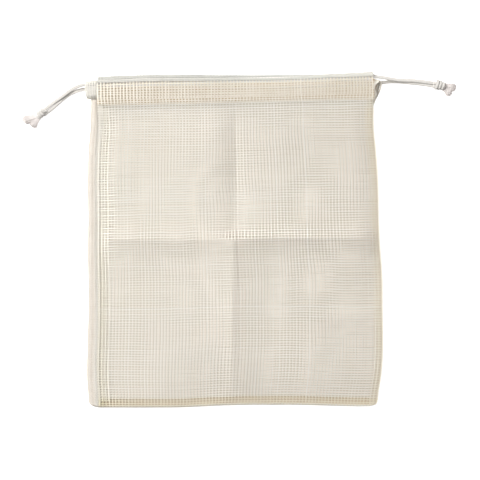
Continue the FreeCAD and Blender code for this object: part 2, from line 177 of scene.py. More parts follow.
def creases(x, y):
    """The folds left by storing the bag folded in four."""
    upper = ease((y + 3) / 14.0)
    fade = 1 - 0.55 * ease((y - 95) / 45.0)
    line_v = -1.2 + 0.012 * (y - 20) + 0.5 * np.sin(y / 47.0)
    z = -3.6 * upper * fade * tip(x - line_v, 11.0, 2.2)
    z += 4.2 * (1 - upper) * (1 - 0.4 * ease((-y - 120) / 45.0)) * tip(x - line_v, 11.0, 2.2)
    line_h = 1.0 + 0.008 * x + 0.6 * np.sin(x / 39.0)
    z += (4.3 + 0.8 * ease((x + 20) / 60.0)) * tip(y - line_h, 10.0, 2.0)
    # a lighter fold across the lower right
    z += 1.0 * ease((x - 60) / 50.0) * tip(y + 80 - 0.02 * x, 7.0)
    return z


def front_height(x, y):
    """The middle of the front layer, away from its edges."""
    centre = np.interp(y, [-171, -150, -100, -45, 0, 60, 92, 118, 141], [5.9, 7.1, 7.9, 8.3, 8.5, 9.7, 10.5, 11.2, 11.8])
    left = x - west(y) - roll(y)
    right = east(y) - x
    foot = y - bottom(x)
    near = np.minimum(np.minimum(left, right), foot)
    rise = ease((near - 1.0) / 22.0)
    mouth = ease((y - 112) / 28.0)
    foot_edge = 5.7 + 1.3 * (1 - ease((right - 2.0) / 20.0))
    edge = foot_edge + (11.2 - foot_edge) * mouth
    calm = ease(near / 16.0) * (1 - 0.7 * ease((y - 120) / 18.0))
    z = edge + (centre - edge) * rise + (crumple(x, y) + creases(x, y)) * calm
    return z


FRONT_A, FRONT_B = 284.6, 307.9  # the flat part, across and up


def front_sheet(a, b):
    """a: mm of cloth from the left seam. b: mm of cloth up from the bottom fold."""
    a, b = np.broadcast_arrays(np.asarray(a, float), np.asarray(b, float))
    u, t = np.minimum(a / FRONT_A, 1.0), np.maximum(b / FRONT_B, 0.0)
    y = -167.8 + (140.4 + 167.8) * t
    for _ in range(2):
        x = west(y) + roll(y) + u * (east(y) - ROLL_R - west(y) - roll(y))
        y = (bottom(x) + ROLL_R) * (1 - t) + stitch_y(x) * t
    hold = 16 * u * (1 - u) * t * (1 - t)
    hold = np.sqrt(np.clip(hold, 0, 1))
    x = x + shear_x(x, y) * hold
    y = y + shear_y(x, y) * hold
    z = front_height(x, y)
    side = np.clip((a - FRONT_A) / 3.15, 0, math.pi / 2)
    foot = np.clip(-b / 3.15, 0, math.pi / 2)
    x = x + ROLL_R * np.sin(side)
    y = y - ROLL_R * np.sin(foot)
    z = 3.1 + (z - 3.1) * np.cos(side) * np.cos(foot)
    x, y = rounded(x, y)
    return np.stack([x, y, z], -1)


BACK_R = 2.35
BACK_A, BACK_B = 294.0, 307.9
WRAP = math.pi * BACK_R


def back_sheet(a, b):
    """a: mm of cloth from the left edge's underside, below 0 round the edge onto the front. b as above."""
    a, b = np.broadcast_arrays(np.asarray(a, float), np.asarray(b, float))
    u, t = np.clip(a / BACK_A, 0.0, 1.0), np.maximum(b / BACK_B, 0.0)
    y = -167.8 + (140.4 + 167.8) * t
    for _ in range(2):
        x = west(y) + BACK_R + u * (east(y) - ROLL_R - west(y) - BACK_R)
        y = (bottom(x) + ROLL_R) * (1 - t) + stitch_y(x) * t
    hold = np.sqrt(np.clip(16 * u * (1 - u) * t * (1 - t), 0, 1))
    x = x + shear_bx(x, y) * hold
    y = y + shear_by(x, y) * hold
    calm = hold
    low = 0.98 + 0.9 * ease((y - 128) / 12.0) * 0 + crumple_back(x, y) * calm
    z = np.maximum(low, 0.95)
    w, rl = west(y), roll(y)
    back = np.maximum(-a, 0.0)
    turn = np.clip(back / BACK_R, 0, math.pi)
    on = np.maximum(back - WRAP, 0.0)  # mm along the front
    top = z + 2 * BACK_R + 0.35 * ease((y - 100) / 40.0)
    xw = w + BACK_R - BACK_R * np.sin(turn) + on
    mid = (z + top) / 2
    zw = mid - (top - z) / 2 * np.cos(turn)
    span = rl - BACK_R
    lift = 0.55 * np.sin(np.clip(on / np.maximum(span, 1), 0, 1) * math.pi)
    dip = ease((on - (span - 3.0)) / 3.6)
    zw = zw + np.where(turn >= math.pi, lift - 0.8 * dip, 0.0)
    x = np.where(back > 0, xw, x)
    z = np.where(back > 0, zw, z)
    side = np.clip((a - BACK_A) / 2.9, 0, math.pi / 2)
    foot = np.clip(-b / 2.9, 0, math.pi / 2)
    x = x + ROLL_R * np.sin(side)
    y = y - ROLL_R * np.sin(foot)
    z = 2.7 + (z - 2.7) * np.cos(side) * np.cos(foot)
    x, y = rounded(x, y)
    return np.stack([x, y, z], -1)


def at_mouth(s, down, z):
    return np.stack(np.broadcast_arrays(UX * s - NX * down, MOUTH_TOP + UY * s - NY * down, z), -1)


mouth_wave = softened([-141, -86, -20, 46, 100, 141], [0.5, 1.7, 0.1, -1.7, -0.5, 0.0], 14.0)
front_lower = softened([-150, -40, 20, 60, 150], [2.9, 3.2, 2.7, 2.2, 1.5], 12.0)
back_top = softened([-141, -117, -86, -45, 0, 46, 87, 123, 141], [3.2, 3.3, 3.0, 2.9, 2.5, 2.6, 1.5, 1.8, 2.5], 8.0)

# --------------------------------------------------------------------------- yarn
class Batch:
    """Collects yarns into one mesh."""

    def __init__(self):
        self.verts, self.quads, self.caps, self.uv, self.cap_uv = [], [], [], [], []
        self.tint, self.fibre, self.lie, self.shade = [], [], [], []
        self.count = 0
        self.strips = 0

    def tubes(self, centre, lateral, normal, wide, thick, sides, tint, lie=None, shade=None):
        """centre (K, M, 3) with unit vectors of the same shape; wide and thick are half-axes (K, M); tint (K,)."""
        k, m = centre.shape[:2]
        if m < 2:
            return
        wide = np.broadcast_to(wide, (k, m))
        thick = np.broadcast_to(thick, (k, m))
        angle = np.arange(sides) * 2 * math.pi / sides
        c, s = np.cos(angle), np.sin(angle)
        v = (
            centre[:, :, None, :]
            + lateral[:, :, None, :] * (wide[:, :, None] * c)[..., None]
            + normal[:, :, None, :] * (thick[:, :, None] * s)[..., None]
        )
        step = np.linalg.norm(np.diff(centre, axis=1), axis=2)
        along = np.concatenate([np.zeros((k, 1)), np.cumsum(step, axis=1)], 1)
        self.verts.append(v.reshape(-1, 3))
        lie = np.zeros((k, m, 3)) if lie is None else np.broadcast_to(lie, (k, m, 3))
        self.lie.append(np.repeat(lie.reshape(-1, 3), sides, axis=0))
        shade = np.zeros((k, m, 3)) if shade is None else np.broadcast_to(shade, (k, m, 3))
        self.shade.append(np.repeat(shade.reshape(-1, 3), sides, axis=0))
        self.tint.append(np.repeat(np.broadcast_to(np.asarray(tint, float), (k,)), m * sides))
        around = np.broadcast_to(angle / (2 * math.pi), (k, m, sides))
        fib = np.stack(
            [np.broadcast_to(along[:, :, None], (k, m, sides)), around, np.broadcast_to((np.arange(k) * 1.618 + self.strips * 0.37)[:, None, None], (k, m, sides))],
            -1,
        )
        self.fibre.append(fib.reshape(-1, 3))
        idx = self.count + np.arange(k * m * sides).reshape(k, m, sides)
        nxt = np.roll(idx, -1, axis=2)
        q = np.stack([idx[:, :-1], nxt[:, :-1], nxt[:, 1:], idx[:, 1:]], -1)
        self.quads.append(q.reshape(-1, 4))
        first = idx[:, 0, ::-1]
        last = idx[:, -1, :]
        self.caps.append((sides, np.concatenate([first, last])))
        # one upright strip of the map for each yarn
        strip = (self.strips + np.arange(k))[:, None, None]
        j = np.arange(sides)[None, None, :]
        va = along / np.maximum(along[:, -1:], 1e-6)
        v0 = np.broadcast_to(va[:, :-1, None], (k, m - 1, sides))
        v1 = np.broadcast_to(va[:, 1:, None], (k, m - 1, sides))
        u0 = np.broadcast_to(strip + 0.06 + 0.88 * j / sides, (k, m - 1, sides))
        u1 = np.broadcast_to(strip + 0.06 + 0.88 * (j + 1) / sides, (k, m - 1, sides))
        self.uv.append(
            np.stack([np.stack([u0, v0], -1), np.stack([u1, v0], -1), np.stack([u1, v1], -1), np.stack([u0, v1], -1)], -2).reshape(-1, 2)
        )
        ring = np.stack([0.5 + 0.40 * c, 0.5 + 0.40 * s], -1)
        ends = []
        for end in (0, 1):
            base = np.zeros((k, sides, 2))
            base[:, :, 0] = strip[:, 0] + ring[None, :, 0]
            base[:, :, 1] = (0.0005 + 0.001 * ring[None, :, 1]) if end == 0 else (0.9985 + 0.001 * ring[None, :, 1])
            ends.append(base)
        self.cap_uv.append(np.concatenate(ends).reshape(-1, 2))
        self.count += k * m * sides
        self.strips += k

    def piece(self, name, material):
        verts = np.concatenate(self.verts) * 0.001
        quads = np.concatenate(self.quads)
        me = bpy.data.meshes.new(name)
        cap_n = sum(c.shape[0] for _, c in self.caps)
        cap_loops = sum(c.size for _, c in self.caps)
        me.vertices.add(len(verts))
        me.vertices.foreach_set("co", verts.astype(np.float32).ravel())
        loops = len(quads) * 4 + cap_loops
        me.loops.add(loops)
        flat = np.concatenate([quads.ravel()] + [c.ravel() for _, c in self.caps])
        me.loops.foreach_set("vertex_index", flat.astype(np.int32))
        me.polygons.add(len(quads) + cap_n)
        starts = [np.arange(len(quads)) * 4]
        at = len(quads) * 4
        for sides, c in self.caps:
            starts.append(at + np.arange(c.shape[0]) * sides)
            at += c.size
        me.polygons.foreach_set("loop_start", np.concatenate(starts).astype(np.int32))
        me.update(calc_edges=True)
        smooth = np.ones(len(me.polygons), bool)
        smooth[len(quads) :] = False
        me.polygons.foreach_set("use_smooth", smooth)
        uv = np.concatenate(self.uv + self.cap_uv).astype(np.float32)
        uv[:, 0] /= max(self.strips, 1)
        layer = me.uv_layers.new(name="OFBake")
        layer.uv.foreach_set("vector", uv.ravel())
        t = me.attributes.new("tint", "FLOAT", "POINT")
        t.data.foreach_set("value", np.concatenate(self.tint).astype(np.float32))
        f = me.attributes.new("fibre", "FLOAT_VECTOR", "POINT")
        f.data.foreach_set("vector", np.concatenate(self.fibre).astype(np.float32).ravel())
        lie = np.concatenate(self.lie)
        if np.abs(lie).max() > 0:
            g = me.attributes.new("lie", "FLOAT_VECTOR", "POINT")
            g.data.foreach_set("vector", lie.astype(np.float32).ravel())
        shade = np.concatenate(self.shade)
        if np.abs(shade).max() > 0:
            g = me.attributes.new("shade", "FLOAT_VECTOR", "POINT")
            g.data.foreach_set("vector", shade.astype(np.float32).ravel())
        me.materials.append(material)
        ob = bpy.data.objects.new(name, me)
        scene.collection.objects.link(ob)
        return ob


def unit(v):
    return v / np.maximum(np.linalg.norm(v, axis=-1, keepdims=True), 1e-12)


def on_surface(surface, a, b, flip=1.0):
    """The point, the direction of rising a, and the normal at (a, b)."""
    e = 0.35
    p = surface(a, b)
    da = unit(surface(a + e, b) - surface(a - e, b))
    db = unit(surface(a, b + e) - surface(a, b - e))
    n = unit(np.cross(da, db)) * flip
    return p, da, db, n


# tints of painted shade, which the shade attribute takes away from the cloth's colour
PAINTED_SHADE_GREY = np.array([0.36, 0.345, 0.335])
PAINTED_SHADE_DEEP = np.array([0.26, 0.31, 0.38])
PAINTED_SHADE_WARM = np.array([0.25, 0.37, 0.52])


def toned(f, tone):
    return lambda a, b: np.asarray(f(a, b) + 0.0 * (a + b))[..., None] * tone


class Weave:
    """The yarns of one layer of cloth, before they are cut into tiles."""

    def __init__(self, surface, columns, rows, seed, low_b, high_b, low_a, high_a, flip=1.0, per_warp=3, per_weft=2, wide=1.0, shade=None, weft_gain=1.0):
        self.weft_gain = weft_gain
        self.shade = shade or (lambda a, b: None)
        self.surface, self.columns, self.rows = surface, np.asarray(columns, float), np.asarray(rows, float)
        self.flip = flip
        r = rand(seed)
        nc, nr = len(self.columns), len(self.rows)
        # warp: sampled between and at the rows
        rows_pad = np.concatenate([[2 * self.rows[0] - self.rows[1]], self.rows, [2 * self.rows[-1] - self.rows[-2]]])
        grid_b, phase = [], []
        for j in range(len(rows_pad) - 1):
            for i in range(per_warp):
                f = i / per_warp
                grid_b.append(rows_pad[j] * (1 - f) + rows_pad[j + 1] * f)
                phase.append(j + f)
        grid_b, phase = np.array(grid_b), np.array(phase)
        keep = (grid_b >= low_b) & (grid_b <= high_b)
        self.wb, self.wphase = grid_b[keep], phase[keep]
        self.wb = np.concatenate([[low_b], self.wb, [high_b]])
        self.wphase = np.interp(self.wb, grid_b, phase)
        jitter = r.normal(0, 0.07, (nc, 1))
        self.warp_a = self.columns[:, None] + jitter + drift(r, nc, self.wb, 0.08)
        self.warp_size = (1 + r.normal(0, 0.09, (nc, 1))) * (1 + drift(r, nc, self.wb, 0.06, (9.0, 17.0, 31.0))) * wide
        self.warp_tint = r.normal(0, 1, nc)
        self.warp_turn = r.choice([-1.0, 1.0], nc)[:, None]
        # weft
        grid_a = np.concatenate([self.columns, (self.columns[:-1] + self.columns[1:]) / 2])
        grid_a = np.sort(grid_a)
        self.fa = np.concatenate([[low_a], grid_a[(grid_a > low_a + 0.2) & (grid_a < high_a - 0.2)], [high_a]])
        self.weft_b = self.rows[:, None] + r.normal(0, 0.06, (nr, 1)) + drift(r, nr, self.fa, 0.08)
        self.weft_size = (1 + r.normal(0, 0.10, (nr, 1))) * (1 + drift(r, nr, self.fa, 0.07, (11.0, 19.0, 37.0))) * wide
        self.weft_tint = r.normal(0, 1, nr)
        self.low_b, self.high_b = low_b, high_b

    def add(self, batch, a_range, b_range, warp=(0.44, 0.20), weft=(0.52, 0.18), swing=0.33, rise=0.34):
        """Adds the yarns within a_range and b_range. The cut falls on the yarns' own rings."""
        a0, a1 = a_range
        b0, b1 = b_range
        cols = np.nonzero((self.columns >= a0) & (self.columns < a1))[0]
        mb = np.nonzero((self.wb >= b0 - 1e-6) & (self.wb <= b1 + 1e-6))[0]
        if len(cols) and len(mb) > 1:
            a = self.warp_a[np.ix_(cols, mb)]
            b = np.broadcast_to(self.wb[mb], a.shape)
            p, da, db, n = on_surface(self.surface, a, b, self.flip)
            ph = math.pi * self.wphase[mb][None, :]
            size = self.warp_size[np.ix_(cols, mb)]
            for ply in (-1.0, 1.0):
                side = ply * swing * np.sin(ph) * self.warp_turn[cols]
                up = ply * rise * np.cos(ph)
                c = p + da * (side * size)[..., None] + n * np.broadcast_to(up, a.shape)[..., None]
                batch.tubes(c, da, n, warp[0] * size, warp[1] * np.sqrt(size), 5, self.warp_tint[cols] + 0.25 * ply, lie=n, shade=self.shade(a, b))
        rows = np.nonzero((self.rows >= b0) & (self.rows < b1))[0]
        ma = np.nonzero((self.fa >= a0 - 1e-6) & (self.fa <= a1 + 1e-6))[0]
        if len(rows) and len(ma) > 1:
            b = self.weft_b[np.ix_(rows, ma)]
            a = np.broadcast_to(self.fa[ma], b.shape)
            p, da, db, n = on_surface(self.surface, a, b, self.flip)
            size = self.weft_size[np.ix_(rows, ma)]
            batch.tubes(p, db, -n, weft[0] * size, weft[1] * np.sqrt(size), 6, self.weft_tint[rows] - 0.3, lie=n, shade=None if self.shade(a, b) is None else self.shade(a, b) * self.weft_gain)



# --------------------------------------------------------------------------- materials
def shader(name, colour, deep, tint_size, rough, sheen, fibre_scale, bump, mottling=0.03, sheen_tint=(1.0, 0.98, 0.94, 1.0), nap=0.0):
    """Spun cotton: colour by yarn, slubs and specks along it, and a bump of fine fibres that run round it."""
    m = bpy.data.materials.new(name)
    m.use_nodes = True
    nt = m.node_tree
    nt.nodes.clear()
    out = nt.nodes.new("ShaderNodeOutputMaterial")
    p = nt.nodes.new("ShaderNodeBsdfPrincipled")
    nt.links.new(p.outputs["BSDF"], out.inputs["Surface"])
    p.inputs["Sheen Weight"].default_value = sheen
    p.inputs["Sheen Roughness"].default_value = 0.5
    p.inputs["Sheen Tint"].default_value = sheen_tint
    p.inputs["Specular IOR Level"].default_value = 0.18
    tint = nt.nodes.new("ShaderNodeAttribute")
    tint.attribute_name = "tint"
    fibre = nt.nodes.new("ShaderNodeAttribute")
    fibre.attribute_name = "fibre"
    place = nt.nodes.new("ShaderNodeTexCoord")

    def maths(kind, a, b=None):
        n = nt.nodes.new("ShaderNodeMath")
        n.operation = kind
        for i, v in enumerate((a, b)):
            if v is None:
                continue
            if isinstance(v, (int, float)):
                n.inputs[i].default_value = v
            else:
                nt.links.new(v, n.inputs[i])
        return n.outputs[0]

    def noise(vector, scale, detail, rough_=0.6):
        n = nt.nodes.new("ShaderNodeTexNoise")
        n.inputs["Scale"].default_value = scale
        n.inputs["Detail"].default_value = detail
        n.inputs["Roughness"].default_value = rough_
        nt.links.new(vector, n.inputs["Vector"])
        return n.outputs["Fac"]

    # slubs: slow changes of shade along each yarn
    slub_at = nt.nodes.new("ShaderNodeMapping")
    slub_at.inputs["Scale"].default_value = (0.045, 0.0, 3.0)
    nt.links.new(fibre.outputs["Vector"], slub_at.inputs["Vector"])
    slub = noise(slub_at.outputs["Vector"], 1.0, 3.0)
    # the dye and wash vary slowly over the cloth
    patch = noise(place.outputs["Object"], 14.0, 3.0)
    fleck = noise(place.outputs["Object"], 520.0, 2.0)
    # fibres lie round the yarn at a slant
    fib_at = nt.nodes.new("ShaderNodeMapping")
    fib_at.inputs["Scale"].default_value = fibre_scale
    fib_at.inputs["Rotation"].default_value = (0.0, 0.0, 0.6)
    nt.links.new(fibre.outputs["Vector"], fib_at.inputs["Vector"])
    fib = noise(fib_at.outputs["Vector"], 1.0, 4.0, 0.65)
    value = maths("MULTIPLY", tint.outputs["Fac"], tint_size)
    value = maths("ADD", value, maths("MULTIPLY", maths("SUBTRACT", slub, 0.5), 0.28))
    value = maths("ADD", value, maths("MULTIPLY", maths("SUBTRACT", patch, 0.5), mottling * 6))
    value = maths("ADD", value, maths("MULTIPLY", maths("SUBTRACT", fleck, 0.5), 0.20))
    value = maths("ADD", value, maths("MULTIPLY", maths("SUBTRACT", fib, 0.5), 0.30))
    value = maths("ADD", value, 0.62)
    ramp = nt.nodes.new("ShaderNodeValToRGB")
    ramp.color_ramp.elements[0].position = 0.0
    ramp.color_ramp.elements[0].color = (*deep, 1)
    ramp.color_ramp.elements[1].position = 1.0
    ramp.color_ramp.elements[1].color = (*colour, 1)
    nt.links.new(value, ramp.inputs["Fac"])
    # painted shade: the shade attribute darkens the colour on inner and lower layers, close-packed folds, edges that
    # face the lamps and parts of the cords; below zero it lightens it, a painted light
    shade = nt.nodes.new("ShaderNodeAttribute")
    shade.attribute_name = "shade"
    left = nt.nodes.new("ShaderNodeVectorMath")
    left.operation = "SUBTRACT"
    left.inputs[0].default_value = (1.0, 1.0, 1.0)
    nt.links.new(shade.outputs["Vector"], left.inputs[1])
    product = nt.nodes.new("ShaderNodeVectorMath")
    product.operation = "MULTIPLY"
    nt.links.new(ramp.outputs["Color"], product.inputs[0])
    nt.links.new(left.outputs["Vector"], product.inputs[1])
    nt.links.new(product.outputs["Vector"], p.inputs["Base Color"])
    r = maths("ADD", maths("MULTIPLY", fib, 0.16), rough - 0.08)
    nt.links.new(r, p.inputs["Roughness"])
    b = nt.nodes.new("ShaderNodeBump")
    b.inputs["Strength"].default_value = bump
    b.inputs["Distance"].default_value = 0.00012
    nt.links.new(fib, b.inputs["Height"])
    nt.links.new(b.outputs["Normal"], p.inputs["Normal"])
    if nap:
        # the fuzz on flat-lying yarns scatters light as the cloth's whole face does
        lie = nt.nodes.new("ShaderNodeAttribute")
        lie.attribute_name = "lie"
        geo = nt.nodes.new("ShaderNodeNewGeometry")

        def vmath(kind, a_, b_=None):
            n = nt.nodes.new("ShaderNodeVectorMath")
            n.operation = kind
            for i, v in enumerate((a_, b_)):
                if v is not None:
                    nt.links.new(v, n.inputs[i])
            return n

        facing = vmath("DOT_PRODUCT", geo.outputs["Normal"], lie.outputs["Vector"]).outputs["Value"]
        side = maths("MULTIPLY", facing, 2.5)
        side = maths("MAXIMUM", maths("MINIMUM", side, 1.0), -1.0)
        side = maths("MULTIPLY", side, nap / (1.0 - nap))
        lean = nt.nodes.new("ShaderNodeVectorMath")
        lean.operation = "SCALE"
        nt.links.new(lie.outputs["Vector"], lean.inputs[0])
        nt.links.new(side, lean.inputs["Scale"])
        both = vmath("ADD", geo.outputs["Normal"], lean.outputs["Vector"]).outputs["Vector"]
        nt.links.new(vmath("NORMALIZE", both).outputs["Vector"], b.inputs["Normal"])
    m.diffuse_color = (*colour, 1)
    return m


cotton = shader("unbleached_cotton_yarn", (0.960, 0.928, 0.862), (0.840, 0.785, 0.672), 0.10, 0.92, 0.22, (1.1, 9.0, 5.0), 0.55, nap=0.82)
# a darker copy of the cotton: painted shade for the layers that lie under and inside the cloth
shaded_inner_cotton = shader("unbleached_cotton_inside_painted_shade", (0.930, 0.880, 0.770), (0.790, 0.715, 0.570), 0.13, 0.94, 0.12, (1.1, 9.0, 5.0), 0.55, nap=0.4)
thread = shader("cotton_sewing_thread", (0.900, 0.860, 0.765), (0.740, 0.675, 0.555), 0.10, 0.75, 0.15, (2.4, 12.0, 5.0), 0.5, 0.02)
cord_cotton = shader("braided_cotton_cord", (0.840, 0.807, 0.760), (0.730, 0.695, 0.645), 0.10, 0.88, 0.20, (1.4, 8.0, 5.0), 0.6, 0.02, nap=0.8)
fluff = shader("frayed_cotton_fibres", (0.850, 0.795, 0.765), (0.760, 0.700, 0.665), 0.12, 0.95, 0.30, (1.0, 5.0, 5.0), 0.4, 0.02, nap=0.75)

# --------------------------------------------------------------------------- cords
def routed(points):
    """The smooth line of a NURBS spline that has these control points, in mm."""
    cu = bpy.data.curves.new("route", "CURVE")
    cu.dimensions = "3D"
    cu.resolution_u = 26
    sp = cu.splines.new("NURBS")
    sp.points.add(len(points) - 1)
    for knot, q in zip(sp.points, points):
        knot.co = (q[0] * 0.001, q[1] * 0.001, q[2] * 0.001, 1.0)
    sp.order_u = 3
    sp.use_endpoint_u = True
    ob = bpy.data.objects.new("route", cu)
    me = bpy.data.meshes.new_from_object(ob)
    line = np.array([v.co for v in me.vertices], float) * 1000
    bpy.data.objects.remove(ob)
    bpy.data.meshes.remove(me)
    bpy.data.curves.remove(cu)
    return line


def even(line, step):
    d = np.concatenate([[0], np.cumsum(np.linalg.norm(np.diff(line, axis=0), axis=1))])
    at = np.linspace(0, d[-1], max(3, int(round(d[-1] / step)) + 1))
    return np.stack([np.interp(at, d, line[:, i]) for i in range(3)], 1)


def relaxed(line, times=3):
    line = line.copy()
    for _ in range(times):
        line[1:-1] = 0.25 * line[:-2] + 0.5 * line[1:-1] + 0.25 * line[2:]
    return line


def carried(line, up=(0, 0, 1)):
    """Directions along a line that don't twist."""
    t = unit(np.gradient(line, axis=0))
    n = np.zeros_like(line)
    v = np.array(up, float)
    v = v - t[0] * (v @ t[0])
    n[0] = v / np.linalg.norm(v)
    for i in range(1, len(line)):
        v = n[i - 1] - t[i] * (n[i - 1] @ t[i])
        n[i] = v / np.linalg.norm(v)
    return t, n, np.cross(t, n)


UPWARD = np.array([0.0, 0.0, 1.0])


def braid(batch, line, wide, tall, seed, carriers=6, pitch=10.5, up=(0, 0, 1), frame_=None, core=True, turn=0.0, slim=1.0, shade=None):
    """A round braid on a line: carriers each way pass over and under each other. wide and tall are its half-axes."""
    r = rand(seed)
    t, n, b = frame_ if frame_ is not None else carried(line, up)
    d = np.concatenate([[0], np.cumsum(np.linalg.norm(np.diff(line, axis=0), axis=1))])
    wide = np.broadcast_to(wide, d.shape)
    tall = np.broadcast_to(tall, d.shape)
    yarn_t = 0.17 * np.minimum(wide, tall)
    w = 2 * math.pi / pitch
    for way in (-1, 1):
        k = np.arange(carriers)[:, None]
        th = way * w * d[None, :] + 2 * math.pi * k / carriers + turn
        lift = way * 0.11 * np.cos(carriers * w * d)[None, :]
        ra, rb = (wide - 2.0 * yarn_t)[None, :] * (1 + lift), (tall - 2.0 * yarn_t)[None, :] * (1 + lift)
        c = line[None] + b[None] * (ra * np.cos(th))[..., None] + n[None] * (rb * np.sin(th))[..., None]
        out = unit(b[None] * (np.cos(th) / np.maximum(wide, 0.1))[..., None] + n[None] * (np.sin(th) / np.maximum(tall, 0.1))[..., None])
        ct = unit(np.gradient(c, axis=1))
        lat = unit(np.cross(out, ct))
        around = math.pi * (wide + tall) / carriers * 0.72 / 2 * 1.02 * slim
        size = 1 + r.normal(0, 0.05, (carriers, 1))
        batch.tubes(c, lat, out, around[None, :] * size, (yarn_t * 1.25)[None, :], 6, r.normal(0, 1, carriers), lie=UPWARD, shade=shade)
    if core:
        inside = 0.66
        batch.tubes(line[None], b[None], n[None], (wide * inside)[None], (tall * inside)[None], 10, [-0.5], lie=UPWARD)


def mouth_point(s, down, z):
    return tuple(float(v) for v in at_mouth(s, down, z))


LEFT_FRONT = [(-140.8, 157.6, 12.6), (-150, 158.7, 10.8), (-157.9, 157.7, 7.1), (-164.4, 155.4, 4.6), (-170.4, 151.7, 4.1), (-176.4, 147.0, 3.8), (-183.0, 142.7, 2.8), (-189.6, 137.9, 2.3), (-196.4, 132.0, 3.9)]
LEFT_BACK = [(-140.8, 154.2, 2.8), (-150, 155.0, 2.6), (-158.2, 154.0, 2.0), (-164.4, 151.8, 1.7), (-170.7, 148.9, 1.7), (-176.9, 144.0, 1.7), (-183.1, 138.6, 1.7), (-189.0, 133.2, 1.9), (-195.3, 128.2, 3.2)]
RIGHT_FRONT = [(141.36, 166.6, 10.6), (151.0, 165.7, 8.8), (158.0, 164.6, 6.7), (165.3, 163.7, 5.0), (173.4, 163.4, 4.4), (185.5, 163.0, 4.1), (197.0, 161.5, 4.0), (206.6, 159.8, 4.7)]
RIGHT_BACK = [(141.5, 158.9, 2.8), (147.6, 160.6, 2.5), (155.3, 161.9, 2.0), (164.2, 162.4, 1.7), (173.8, 161.4, 1.7), (185.8, 160.5, 1.7), (197.4, 158.9, 1.9), (206.6, 157.0, 3.2)]


def knot(batch, centre, heading, cord_r, seed, turns=3.0, barrel=3.15, low=0.9, flat=0.84, start=0.0, flip=1.0, lean=0.10, shade=0.12):
    """The pair's overhand knot pulled tight: one cord goes round the other in wraps that lie side by side, with its ends tucked in."""
    r = rand(seed)
    h = np.array([heading[0], heading[1], 0.0])
    h /= np.linalg.norm(h)
    across = np.array([-h[1], h[0], 0.0])
    up = np.array([0.0, 0.0, 1.0])
    step = 2 * cord_r * 0.97
    t = np.linspace(-0.42, turns + 0.42, int(turns * 60))
    grip = ease((t + 0.42) / 0.62) * ease((turns + 0.42 - t) / 0.62)
    radius = (0.5 + (barrel - 0.5) * grip) * (1 + 0.05 * np.sin(2 * math.pi * t * 0.37 + 1.0))
    th = flip * 2 * math.pi * t + start
    x = (np.clip(t, 0, turns) - turns / 2) * step + lean * radius * np.sin(th + 0.5)
    x = x + np.where(t < 0, 1.6 * t / 0.42, 0.0) + np.where(t > turns, 1.6 * (t - turns) / 0.42, 0.0)
    swell = 1 + 0.05 * np.cos(2 * math.pi * t * 0.21)
    line = x[:, None] * h + (radius * swell * np.cos(th))[:, None] * across + (radius * flat * np.sin(th))[:, None] * up
    line = even(relaxed(line, 3), 0.4)
    bottom_ = line[:, 2].min() - cord_r
    line = line + np.array([centre[0], centre[1], max(low - 0.6 - bottom_, 0.0)])
    mid = line.mean(0)
    out = unit(line - mid - ((line - mid) @ h)[:, None] * h + 1e-6)
    tt = unit(np.gradient(line, axis=0))
    n = unit(out - (out * tt).sum(1)[:, None] * tt)
    braid(batch, line, cord_r * 1.02, cord_r * 0.94, seed, pitch=8.5, frame_=(tt, n, np.cross(tt, n)), shade=shade)
    # the pair goes straight through the middle
    for k, way in enumerate((-1.0, 1.0)):
        s_ = np.linspace(-turns * step / 2 - 2.2, turns * step / 2 + 1.6, 40)[:, None]
        core = mid + s_ * h + across * way * (barrel - cord_r) * 0.62 + up * way * 0.3
        braid(batch, core, cord_r * 0.95, cord_r * 0.95, seed + 5 + k, pitch=9.5)
    return line


def tuft(batch, start, heading, length, r0, r1, count, seed, drop=0.0, flat=0.8, curl=0.5, thick=0.17):
    """Cut cord ends that have come undone into a brush of fibres."""
    r = rand(seed)
    h = np.array([heading[0], heading[1], drop], float)
    h /= np.linalg.norm(h)
    across = unit(np.array([-h[1], h[0], 0.0]))
    up = np.cross(h, across)
    m_ = 9
    s = np.linspace(0, 1, m_)[None, :]
    rad = np.sqrt(r.uniform(0.0, 1, (count, 1)))
    ang = r.uniform(0, 2 * math.pi, (count, 1))
    long = length * (0.80 + 0.22 * r.uniform(0, 1, (count, 1)) - 0.16 * rad**2)
    grow = r0 + (r1 - r0) * s**1.25
    y = rad * np.cos(ang) * grow
    z = rad * np.sin(ang) * grow * flat
    x = long * s
    for amp, freq in ((curl, 1.3), (curl * 0.45, 3.1)):
        y = y + amp * s * np.sin(2 * math.pi * freq * s + r.uniform(0, 6.28, (count, 1))) * r.normal(0, 0.6, (count, 1))
        z = z + amp * s * np.sin(2 * math.pi * freq * s + r.uniform(0, 6.28, (count, 1))) * r.normal(0, 0.5, (count, 1)) * flat
    c = np.array(start) + x[..., None] * h + y[..., None] * across + z[..., None] * up
    c[..., 2] = np.where(c[..., 2] < 0.3, 0.3 + 0.12 * r.uniform(0, 1, (count, 1)), c[..., 2])
    t = unit(np.gradient(c, axis=1))
    lat = unit(np.cross(t, np.array([0, 0, 1.0])))
    n = np.cross(lat, t)
    size = thick * (0.8 + 0.5 * r.uniform(0, 1, (count, 1))) * (1 - 0.35 * s)
    batch.tubes(c, lat, n, size, size, 4, r.normal(0, 1, count), lie=UPWARD)


